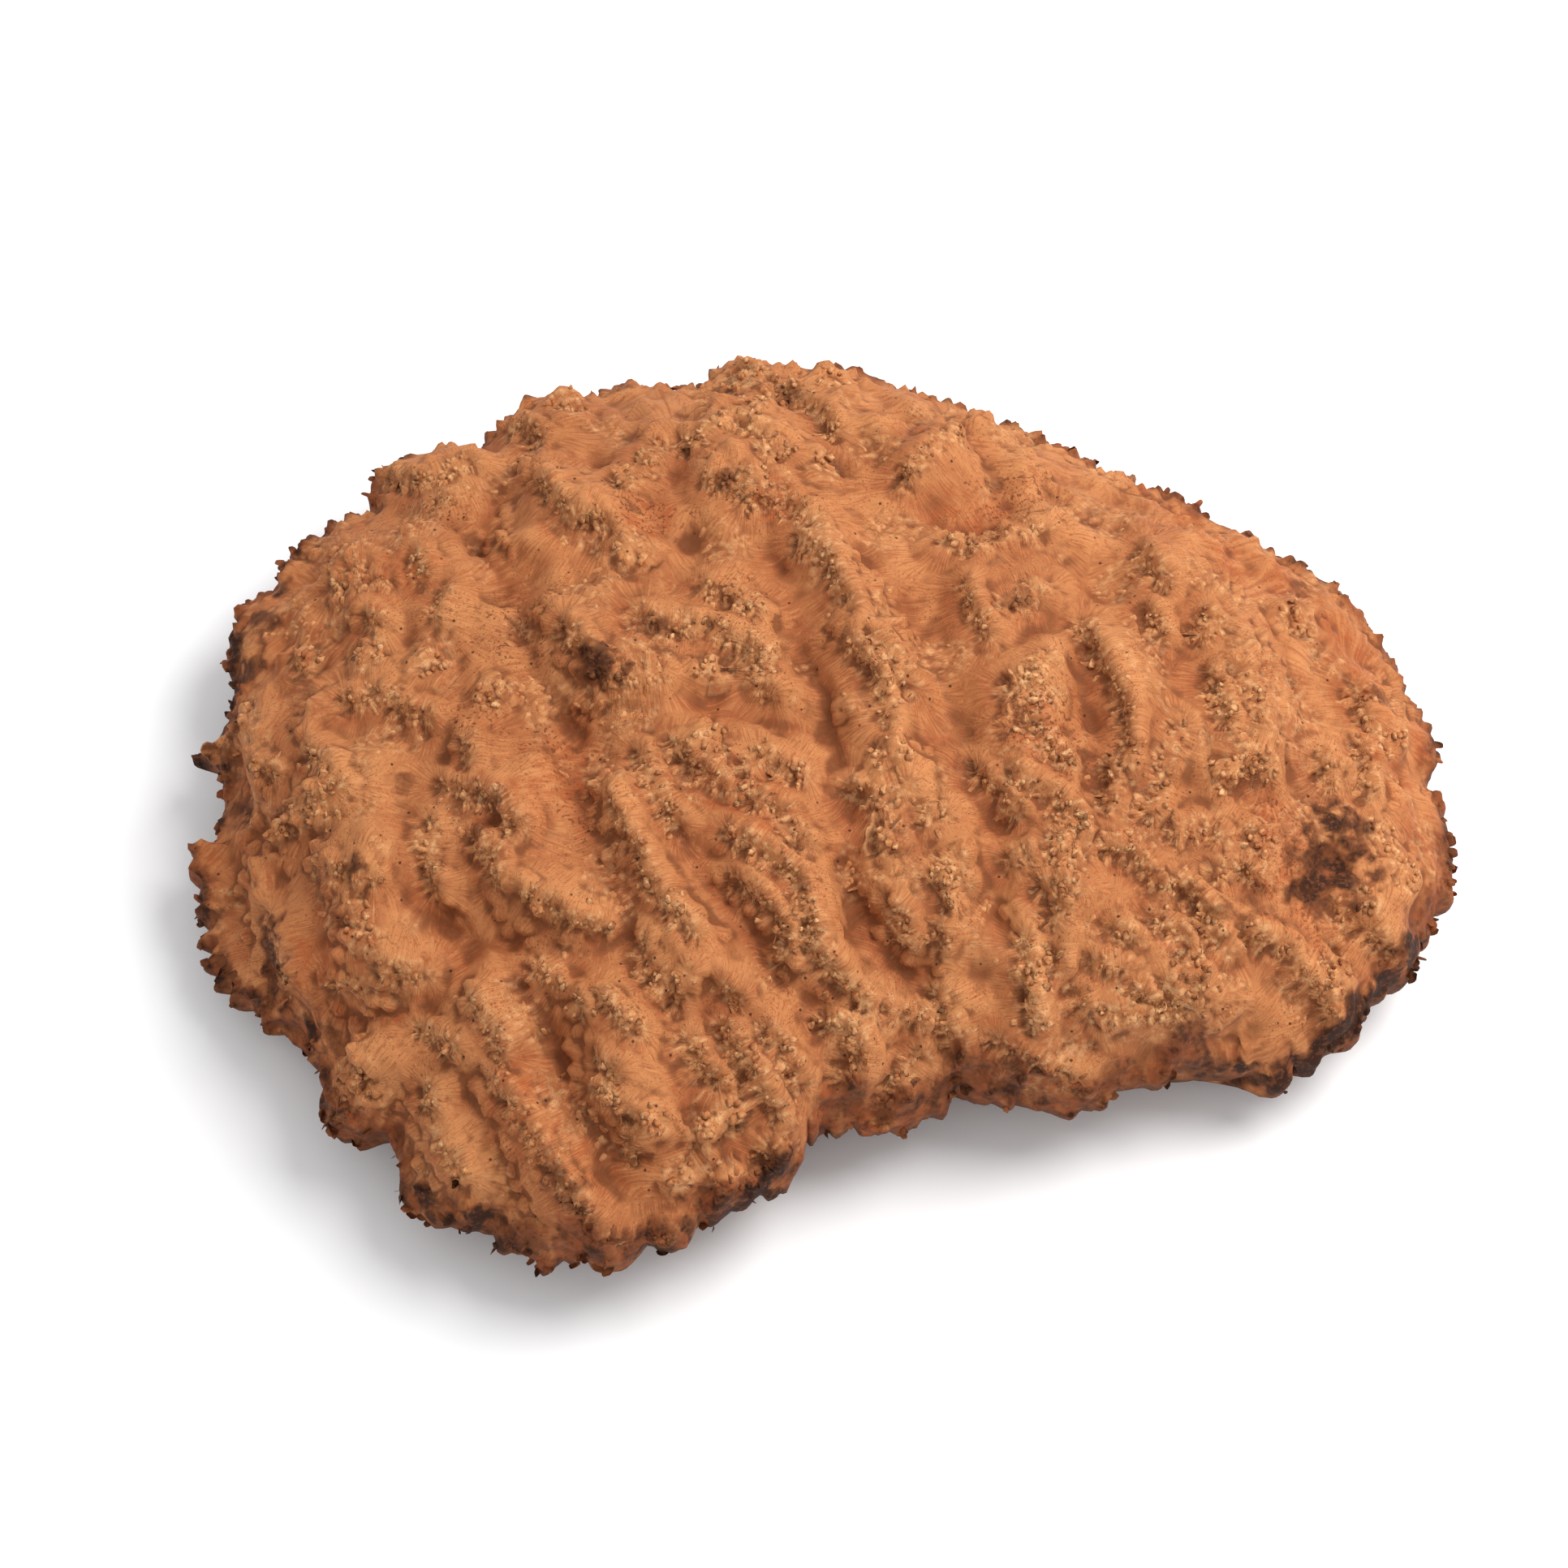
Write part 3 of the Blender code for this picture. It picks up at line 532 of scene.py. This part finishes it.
# Under the rim the bark has left upright furrows.
around = np.arctan2(corners[:, 1], corners[:, 0]) * MEAN_RADIUS
from_middle = np.hypot(corners[:, 0], corners[:, 1])
furrow_places = np.stack([around, corners[:, 2] * 0.25, from_middle * 0.3], axis=1)
furrows = waves(furrow_places, FURROW_WIDTHS[0]) + 0.6 * waves(furrow_places, FURROW_WIDTHS[1], 4.0)
lift += (1 - top) * free[:, 0] * FURROW_HEIGHT * furrows
plain_corners = corners
corners = corners + ways * lift[:, None]
ways = face_ways(corners)
sawn_facets = read(skin, "polygons", "center", 3)[:, 2] < SAWN_HEIGHT
skin.polygons.foreach_set("use_smooth", ~sawn_facets)

# Painted shade darkens the fine hollows and the broad valleys, and painted highlight lightens the ridges;
# both come from how the skin curves.
VALLEY_ROUNDS = 14
CREST_SHIFT = 0.05
bend = np.einsum("ij,ij->i", mean_around(corners) - corners, ways) / MM
bend = 0.5 * bend + 0.5 * mean_around(bend)
eased = plain_corners.copy()
for turn in range(VALLEY_ROUNDS):
    eased += 0.5 * (mean_around(eased) - eased)
wide_bend = np.einsum("ij,ij->i", eased - plain_corners, ways) / MM


def spots(points, table):
    """How strongly each point lies in one of the spots, from 0 to 1, with ragged outlines."""
    strongest = np.zeros(len(points))
    ragged = 0.9 * waves(points, 6 * MM, 11.0) + 0.6 * waves(points, 2.5 * MM, 12.0)
    for across, up, radius in table:
        distance = np.linalg.norm(points - on_face(across, up), axis=1) / (radius * MM)
        depth = min(1.0, 0.5 + 0.05 * radius)
        strongest = np.maximum(strongest, depth * (1 - step(distance + ragged, 0.2, 1.4)))
    return strongest


def keep(mesh, name, values):
    """Stores one number, or three, for each corner of the mesh."""
    kind, field = ("FLOAT", "value") if values.ndim == 1 else ("FLOAT_VECTOR", "vector")
    layer = mesh.attributes.new(name, kind, "POINT")
    layer.data.foreach_set(field, values.astype(np.float32).ravel())


rim = outline(corners)
to_rim = inside(corners, rim)
keep(skin, "crest", pip_zone)
keep(skin, "toe", np.maximum(toe_zone, 0.7 * stray_zone) * top)
keep(skin, "pip", crumbs * pip_zone)
# Painted shadow in the slits between the toes of the comb.
keep(skin, "slit_shadow", toe_zone * (1 - toe_wave) * top)
# Painted highlight on the raised tops of the toe comb.
keep(skin, "toe_top_highlight", toe_zone * toe_wave * top)
steep_bank = step(-bank, -0.2, 0.7) * step(near, 1 * MM, 4 * MM) * (1 - step(near, 7 * MM, 12 * MM))
keep(skin, "shade", steep_bank * top)
# Painted shade: the skin is darkened where it curves inward.
keep(skin, "crevice_shade", np.clip(0.5 + 2.2 * bend, 0, 1))
# Painted shade in the broad valleys and painted highlight on the ridges.
keep(skin, "valley_shade_ridge_light", np.clip(0.5 + 0.55 * wide_bend, 0, 1))
keep(skin, "dark", spots(corners, DARK))
keep(skin, "red", spots(corners, RED))
keep(skin, "pale", spots(corners, PALE))
keep(skin, "speckled", spots(corners, SPECKLED))
ragged_rim = to_rim + 3 * MM * waves(corners, 9 * MM, 7.0)
keep(skin, "rim", 1 - step(ragged_rim, 1 * MM, 7 * MM))
keep(skin, "bare", step(ways[:, 2], -0.3, 0.0) * step(corners[:, 2], 3 * MM, 8 * MM))
keep(skin, "grain", np.stack([along_crest, near, which * CREST_SHIFT], axis=1))

# Raw eucalypt burl: to the eye dry, matt, orange-tan wood, streaked by fine grain, straw-coloured on the
# pips' broken tops, where a painted highlight is laid too, dark where bark or scorch marks remain, and
# paler on the sawn face. Painted shade darkens its hollows, valleys, steep banks, pip feet and the slits
# between toes, and painted highlight lightens its ridges and toe tops.
raw_burl, tree, shader = new_material("raw_eucalypt_burl")
GRAIN_WIDTH = 0.38 * MM
GRAIN_LENGTH = 7 * MM
FRILL_WIDTH = 2.2 * MM
FRILL_LENGTH = 4.5 * MM
STREAK_WIDTH = 2.5 * MM
STREAK_LENGTH = 9 * MM
CREST_SCALE = 40.0
wood_place = add(tree, "ShaderNodeTexCoord").outputs["Object"]


def kept(name):
    """A number kept on the skin."""
    found = add(tree, "ShaderNodeAttribute", {"attribute_name": name})
    return found.outputs["Vector" if name == "grain" else "Fac"]


def mottle(size, detail=3.0, rough=0.5, where=None):
    """Cloudy noise with patches of this size."""
    settings = {"Vector": where or wood_place, "Scale": 1 / size, "Detail": detail, "Roughness": rough}
    return add(tree, "ShaderNodeTexNoise", None, settings).outputs["Fac"]


def between(value, low, high, to_low=0.0, to_high=1.0):
    """The value spread over a range and held inside it."""
    ends = {"Value": value, "From Min": low, "From Max": high, "To Min": to_low, "To Max": to_high}
    return add(tree, "ShaderNodeMapRange", None, ends).outputs["Result"]


def times(first, second):
    """One value multiplied by another."""
    return add(tree, "ShaderNodeMath", {"operation": "MULTIPLY"}, {0: first, 1: second}).outputs[0]


def plus(first, second):
    """One value added to another."""
    return add(tree, "ShaderNodeMath", {"operation": "ADD"}, {0: first, 1: second}).outputs[0]


def streaks(width, length, detail, rough):
    """Noise drawn out along the grain, which runs down from the crests."""
    drawn_out = {"Vector": kept("grain"), "Scale": (1 / width, 1 / length, CREST_SCALE)}
    where = add(tree, "ShaderNodeMapping", {"vector_type": "POINT"}, drawn_out).outputs[0]
    return mottle(1.0, detail, rough, where)


def laid_over(colour, over, share):
    """A colour over another where the share is 1."""
    settings = {"data_type": "RGBA"}
    return add(tree, "ShaderNodeMix", settings, {"Factor": share, 6: colour, 7: over}).outputs[2]


TAN = linear("#A9693E")
HONEY = linear("#C0804F")
CINNAMON = linear("#8F4B29")
RUST = linear("#9C4720")
UMBER = linear("#6B3B1F")
GREY_BROWN = linear("#855432")
CHAR = linear("#2C160B")
STRAW = linear("#E8B680")
BARK = linear("#4E2E1C")
SAWN = linear("#C4925F")
SAWN_DARK = linear("#9C6038")
SAW_PITCH = 3 * MM
PORE_PITCH = 7 * MM

grain = streaks(GRAIN_WIDTH, GRAIN_LENGTH, 2.0, 0.5)
frill = streaks(FRILL_WIDTH, FRILL_LENGTH, 2.0, 0.6)
cloud = mottle(38 * MM)
fleck = mottle(2.2 * MM, 2.0, 0.6)
colour = laid_over(TAN, HONEY, between(cloud, 0.35, 0.65))
colour = laid_over(colour, CINNAMON, between(mottle(16 * MM), 0.5, 0.75, 0.0, 0.45))
# Painted shade in the broad valleys, then painted highlight on the ridges.
colour = laid_over(colour, CINNAMON, between(kept("valley_shade_ridge_light"), 0.5, 0.9, 0.0, 0.8))
colour = laid_over(colour, HONEY, between(kept("valley_shade_ridge_light"), 0.45, 0.1, 0.0, 0.6))
colour = laid_over(colour, CINNAMON, times(kept("shade"), between(mottle(9 * MM), 0.35, 0.65, 0.15, 0.7)))
colour = laid_over(colour, UMBER, times(kept("shade"), between(mottle(3 * MM), 0.5, 0.7, 0.0, 0.45)))
colour = laid_over(colour, RUST, times(kept("red"), between(mottle(5 * MM), 0.35, 0.65, 0.15, 0.75)))
colour = laid_over(colour, CINNAMON, between(grain, 0.5, 0.66, 0.0, 0.6))
colour = laid_over(colour, HONEY, between(grain, 0.5, 0.34, 0.0, 0.5))
colour = laid_over(colour, GREY_BROWN, times(kept("crest"), between(mottle(4 * MM), 0.4, 0.62, 0.0, 0.35)))
# Painted shade in the fine hollows and creases.
colour = laid_over(colour, UMBER, between(kept("crevice_shade"), 0.58, 0.9, 0.0, 0.8))
# Painted shadow: dark slits between the toes, drawn from the frill noise.
colour = laid_over(colour, UMBER, times(kept("toe"), between(frill, 0.47, 0.36, 0.0, 0.75)))
colour = laid_over(colour, CHAR, times(kept("toe"), between(frill, 0.37, 0.3, 0.0, 0.4)))
# Painted shadow in the slits between the toes.
colour = laid_over(colour, UMBER, between(kept("slit_shadow"), 0.25, 0.8, 0.0, 0.75))
# Painted highlight on the tops of the toes.
colour = laid_over(colour, HONEY, between(kept("toe_top_highlight"), 0.4, 1.0, 0.0, 0.6))
# Painted highlight on the toes' heads, drawn from the frill noise.
colour = laid_over(colour, STRAW, times(kept("toe"), between(frill, 0.56, 0.7, 0.0, 0.45)))
# Pale broken tops of the pips, partly painted highlight.
colour = laid_over(colour, STRAW, times(kept("pip"), between(fleck, 0.44, 0.62, 0.0, 0.8)))
colour = laid_over(colour, STRAW, times(kept("pale"), between(fleck, 0.45, 0.65, 0.0, 0.45)))
freckles = between(mottle(1.1 * MM, 2.0, 0.7), 0.54, 0.68, 0.0, 0.7)
colour = laid_over(colour, RUST, times(freckles, between(mottle(13 * MM), 0.35, 0.6, 0.2, 1.0)))
specks = between(mottle(0.8 * MM, 2.0, 0.7), 0.59, 0.68, 0.0, 0.9)
speck_patches = between(mottle(20 * MM), 0.4, 0.62, 0.25, 1.0)
colour = laid_over(colour, UMBER, times(specks, speck_patches))
speck_field = times(kept("speckled"), between(mottle(1.3 * MM, 1.0), 0.57, 0.64, 0.0, 0.9))
colour = laid_over(colour, UMBER, speck_field)
pore_field = {"Vector": wood_place, "Scale": 1 / PORE_PITCH}
pores = add(tree, "ShaderNodeTexVoronoi", None, pore_field).outputs["Distance"]
colour = laid_over(colour, CHAR, between(pores, 0.085, 0.05, 0.0, 0.85))
scorch = times(kept("rim"), between(mottle(16 * MM, 4.0, 0.7), 0.36, 0.56, 0.3, 0.95))
colour = laid_over(colour, RUST, times(kept("rim"), between(mottle(6 * MM), 0.35, 0.55, 0.1, 0.8)))
colour = laid_over(colour, UMBER, scorch)
colour = laid_over(colour, CHAR, times(scorch, between(mottle(5 * MM, 4.0, 0.7), 0.45, 0.6, 0.0, 0.9)))
under = laid_over(BARK, UMBER, mottle(9 * MM))
colour = laid_over(under, colour, kept("bare"))
brown_stain = between(plus(kept("dark"), mottle(4 * MM, 5.0, 0.7)), 0.85, 1.35, 0.0, 0.85)
black_stain = between(plus(kept("dark"), streaks(STREAK_WIDTH, STREAK_LENGTH, 4.0, 0.75)), 1.25, 1.55)
crevice = between(mottle(1.6 * MM, 2.0, 0.6), 0.36, 0.5, 0.25, 0.92)
lit_pips = between(kept("pip"), 0.3, 1.0, 1.0, 0.35)
burnt_edge = between(times(kept("rim"), brown_stain), 0.1, 0.55, 0.0, 0.9)
colour = laid_over(colour, UMBER, brown_stain)
colour = laid_over(colour, CHAR, times(burnt_edge, crevice))
colour = laid_over(colour, CHAR, times(times(black_stain, crevice), lit_pips))
above_saw_cut = add(tree, "ShaderNodeSeparateXYZ", None, {0: wood_place}).outputs["Z"]
sawn = between(above_saw_cut, 0.12 * MM, 0.03 * MM)
saw_marks = {"Vector": wood_place, "Scale": 0.05 / SAW_PITCH, "Distortion": 1.5, "Detail": 2.0}
marks = add(tree, "ShaderNodeTexWave", {"bands_direction": "X"}, saw_marks).outputs["Fac"]
figure = laid_over(SAWN, SAWN_DARK, between(mottle(11 * MM, 5.0, 0.7), 0.35, 0.7, 0.0, 0.8))
figure = laid_over(figure, UMBER, between(pores, 0.16, 0.1, 0.0, 0.7))
figure = laid_over(figure, SAWN_DARK, between(marks, 0.6, 1.0, 0.0, 0.5))
colour = laid_over(colour, figure, sawn)
tree.links.new(colour, shader.inputs["Base Color"])
shader.inputs["Roughness"].default_value = 0.8
shader.inputs["Specular IOR Level"].default_value = 0.2


def raised(height, distance, strength, below=None):
    """The surface's direction with a fine relief on it."""
    relief = {"Height": height, "Distance": distance, "Strength": strength}
    if below is not None:
        relief["Normal"] = below
    return add(tree, "ShaderNodeBump", None, relief).outputs[0]


hairs = raised(grain, 0.12 * MM, between(sawn, 0.0, 1.0, 0.5, 0.0))
crumbled = raised(fleck, 0.5 * MM, between(kept("crest"), 0.0, 1.0, 0.05, 0.6), hairs)
fringed = raised(frill, 1.4 * MM, between(kept("toe"), 0.0, 1.0, 0.0, 0.9), crumbled)
tree.links.new(fringed, shader.inputs["Normal"])

skin.materials.clear()
skin.materials.append(raw_burl)
burl = bpy.data.objects.new("burl_surface", skin)
bpy.context.scene.collection.objects.link(burl)
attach(burl, "root")
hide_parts("burl_cap")


# The toes
# Short fingers of wood that run down from the crests, mostly on the steep bank, and fray the rim.
# Each has a blunt head, a thin tail, and lies along the skin.

SEED = 38
TOE_PITCHES = {-1: 1.5 * MM, 1: 4.0 * MM}  # on the steep bank and on the smooth bank
TOE_LENGTHS = (3.5 * MM, 7.0 * MM)
TOE_WIDTHS = (1.0 * MM, 1.7 * MM)
TOE_HEIGHTS = (0.9 * MM, 2.0 * MM)
TOE_SINK = 0.35
TOE_HEAD_PALENESS_AND_HIGHLIGHT = 0.75
HEAD_SHARE = 0.2
TOE_SWING = 0.35
STRAY_TOES = 450
SPLINTERS = 300
SPLINTER_LENGTHS = (1.8 * MM, 3.4 * MM)
SPLINTER_WIDTHS = (1.2 * MM, 2.6 * MM)
SPLINTER_ROOT = 1.8 * MM

draw = random.Random(SEED)
skin_tree = BVHTree.FromPolygons(corners.tolist(), [tuple(face.vertices) for face in skin.polygons])

finger = bmesh.new()
bmesh.ops.create_grid(finger, x_segments=5, y_segments=4, size=1)
finger_shape = bpy.data.meshes.new("finger_shape")
finger.to_mesh(finger_shape)
finger.free()
finger_grid = read(finger_shape, "vertices", "co", 3)
finger_along = (finger_grid[:, 0] + 1) / 2
finger_body = np.sqrt(np.clip(finger_along / HEAD_SHARE, 0, 1)) * (1 - finger_along) ** 0.8
finger_rise = finger_body * np.sqrt(np.clip(1 - finger_grid[:, 1] ** 2, 0, 1))
finger_across = finger_grid[:, 1] * (0.45 + 0.55 * np.sqrt(finger_body))
finger_foot = finger_grid[:, 1] ** 2 * finger_body


def swung(way, swing):
    """A level direction turned by chance."""
    turn = draw.gauss(0, swing)
    across = way[0] * math.cos(turn) - way[1] * math.sin(turn)
    up = way[0] * math.sin(turn) + way[1] * math.cos(turn)
    return Vector((across, up, 0))


def grow(pile, heads, place, ahead, size=1.0, lying=True):
    """Adds one finger that starts at a place and runs ahead, along the skin or straight out."""
    ground, way, _, _ = skin_tree.find_nearest(Vector(place))
    if ground is None:
        return
    ahead = Vector(ahead)
    if lying:
        ahead = ahead - ahead.dot(way) * way
    if ahead.length < 0.2:
        return
    ahead.normalize()
    across = way.cross(ahead).normalized()
    long = size * draw.uniform(*(TOE_LENGTHS if lying else SPLINTER_LENGTHS))
    wide = size * draw.uniform(*(TOE_WIDTHS if lying else SPLINTER_WIDTHS))
    tall = size * draw.uniform(*TOE_HEIGHTS)
    curl = draw.uniform(-0.35, 0.35)
    places = []
    for along, over, rise in zip(finger_along, finger_across, finger_rise):
        spot = ground + ahead * long * along + across * (wide * over + curl * long * along**2)
        height = tall * (rise - TOE_SINK)
        if lying:
            spot, facing, _, _ = skin_tree.find_nearest(spot)
            places.extend(spot + facing * height)
        else:
            places.extend(spot + way * height)
    stamp = finger_shape.copy()
    stamp.vertices.foreach_set("co", places)
    pile.from_mesh(stamp)
    bpy.data.meshes.remove(stamp)
    # A pale head, partly painted highlight, and painted shade along the foot.
    heads.append(np.stack([TOE_HEAD_PALENESS_AND_HIGHLIGHT * finger_rise * (1 - finger_along), finger_foot], axis=1))


def steep_side(way):
    """The level direction down the steep bank of a crest that runs this way."""
    side = Vector((-way[1], way[0], 0)).normalized()
    return side if side.dot(Vector(SMOOTH_SIDE)) < 0 else -side


toe_pile = bmesh.new()
toe_heads = []
for line in crest_lines:
    for start, end in zip(line[:-1], line[1:]):
        way = end - start
        for bank_side, pitch in TOE_PITCHES.items():
            side = steep_side(way) * -bank_side
            for _ in range(round(float(np.linalg.norm(way)) / pitch + draw.random() - 0.5)):
                place = Vector(start + way * draw.random()) + side * draw.uniform(-0.5, 3.5) * MM
                grow(toe_pile, toe_heads, place, swung(side, TOE_SWING))
stray_places = np.flatnonzero((stray_zone > 0.3) & (ways[:, 2] > 0.2))
for index in draw.sample(stray_places.tolist(), min(STRAY_TOES, len(stray_places))):
    side = Vector((*(1.5 * ways[index][:2] - 0.6 * SMOOTH_SIDE[:2]), 0)).normalized()
    grow(toe_pile, toe_heads, corners[index], swung(side, TOE_SWING), 0.9)
rim_places = np.flatnonzero((to_rim < 1.2 * MM) & (corners[:, 2] > 4 * MM))
for index in draw.sample(rim_places.tolist(), min(SPLINTERS, len(rim_places))):
    out = Vector((*corners[index][:2], 0)).normalized()
    place = corners[index] - np.array(out) * SPLINTER_ROOT
    ahead = swung(out, 0.45) + Vector((0, 0, draw.uniform(-0.5, 0.3)))
    grow(toe_pile, toe_heads, place, ahead, lying=False)


def finish_pieces(name, pile, heads):
    """Makes a piece of the pile in the skin's own wood."""
    mesh = bpy.data.meshes.new(name)
    pile.to_mesh(mesh)
    pile.free()
    mesh.polygons.foreach_set("use_smooth", np.ones(len(mesh.polygons), bool))
    places = read(mesh, "vertices", "co", 3)
    near, along_crest, which, bank = nearest_crest(places)
    heads, feet = np.concatenate(heads).T
    keep(mesh, "bare", np.ones(len(places)))
    keep(mesh, "pip", np.clip(1.3 * heads, 0, 1))
    keep(mesh, "crest", 1 - step(near, 3 * MM, 9 * MM))
    # This share also sets the painted slit shadows and highlights on the pieces.
    keep(mesh, "toe", 0.8 * (1 - step(near, 6 * MM, 10 * MM)))
    # Painted shade at the feet of the pips and toes.
    keep(mesh, "crevice_shade", 0.45 + 0.4 * feet)
    keep(mesh, "valley_shade_ridge_light", np.full(len(places), 0.5))
    for label, table in (("dark", DARK), ("red", RED), ("pale", PALE)):
        keep(mesh, label, spots(places, table))
    keep(mesh, "rim", 1 - step(inside(places, rim), 1 * MM, 9 * MM))
    keep(mesh, "grain", np.stack([along_crest, near, which * CREST_SHIFT], axis=1))
    mesh.materials.append(raw_burl)
    piece = bpy.data.objects.new(name, mesh)
    bpy.context.scene.collection.objects.link(piece)
    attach(piece, "root")


finish_pieces("wood_toes", toe_pile, toe_heads)


# The bud pips
# Dead epicormic buds: crumbs of wood one to three millimetres across with pale broken tops, which also
# carry a painted highlight. They sit in clusters on the crests and knobs, pressed against each other.

CLUSTER_PITCH = 5.5 * MM
CLUSTER_PIPS = (1, 4)
CLUSTER_SPREAD = 1.7 * MM
PIP_WIDTHS = (0.7 * MM, 1.6 * MM)
PIP_HEIGHTS = (1.0 * MM, 2.2 * MM)
PIP_SINK = 0.4
KNOB_PIPS = 0.07  # for each square millimetre of a knob
PIP_SHAPES = 6


def pip_shape(number):
    """One crumb: a six-sided stump on z = 0, one unit wide and high, pinched and bent by chance."""
    crumb = bmesh.new()
    bmesh.ops.create_cone(crumb, cap_ends=True, segments=6, radius1=1.0, radius2=0.5, depth=1.0)
    uprights = [e for e in crumb.edges if abs(e.verts[0].co.z - e.verts[1].co.z) > 0.5]
    bmesh.ops.subdivide_edges(crumb, edges=uprights, cuts=1)
    bend = Vector((draw.uniform(-0.4, 0.4), draw.uniform(-0.4, 0.4), 0))
    for corner in crumb.verts:
        corner.co.z += 0.5
        if corner.co.z > 0.2:
            corner.co += bend * corner.co.z**2
            corner.co += Vector([draw.uniform(-0.25, 0.25) for _ in range(3)])
    bmesh.ops.triangulate(crumb, faces=crumb.faces[:])
    shape = bpy.data.meshes.new(f"pip_shape_{number}")
    crumb.to_mesh(shape)
    crumb.free()
    return shape


shapes = [pip_shape(number) for number in range(PIP_SHAPES)]
heights = [read(shape, "vertices", "co", 3)[:, 2] for shape in shapes]
pip_pile = bmesh.new()
pip_heads = []


def plant(place, lean):
    """Sets one pip on the skin near a place, leaning one way."""
    ground, way, _, _ = skin_tree.find_nearest(Vector(place))
    if ground is None or way.z < 0.05:
        return
    axis = (way + lean * draw.uniform(0.0, 0.8)).normalized()
    across = axis.cross(Vector((0.3, 1, 0))).normalized()
    ahead = across.cross(axis)
    wide = draw.uniform(*PIP_WIDTHS)
    tall = draw.uniform(*PIP_HEIGHTS)
    ahead = ahead * wide * draw.uniform(0.8, 1.5)
    turned = Matrix((across * wide, ahead, axis * tall)).transposed().to_4x4()
    turned.translation = ground - PIP_SINK * tall * axis
    number = draw.randrange(PIP_SHAPES)
    stamp = shapes[number].copy()
    stamp.transform(turned @ Matrix.Rotation(draw.uniform(0, 2 * math.pi), 4, "Z"))
    pip_pile.from_mesh(stamp)
    bpy.data.meshes.remove(stamp)
    tall_share = np.clip(heights[number], 0, 1)
    # Paler towards the top, partly painted highlight, and painted shade towards the foot.
    pip_heads.append(np.stack([tall_share * (0.4 if draw.random() < 0.5 else 1.0), 1 - tall_share], axis=1))


for line in crest_lines:
    for start, end in zip(line[:-1], line[1:]):
        way = end - start
        side = steep_side(way)
        for _ in range(round(float(np.linalg.norm(way)) / CLUSTER_PITCH + draw.random() - 0.5)):
            middle = Vector(start + way * draw.random()) + side * draw.uniform(-1, 1.5) * MM
            for _ in range(draw.randint(*CLUSTER_PIPS)):
                scatter = Vector((draw.gauss(0, 1), draw.gauss(0, 1), 0)) * CLUSTER_SPREAD
                plant(middle + scatter, side)
for middle, radius in knob_places:
    for _ in range(round(KNOB_PIPS * math.pi * (radius / MM) ** 2)):
        turn = draw.uniform(0, 2 * math.pi)
        out = Vector((math.cos(turn), math.sin(turn), 0))
        plant(Vector(middle) + out * radius * math.sqrt(draw.random()), out)
finish_pieces("bud_pips", pip_pile, pip_heads)
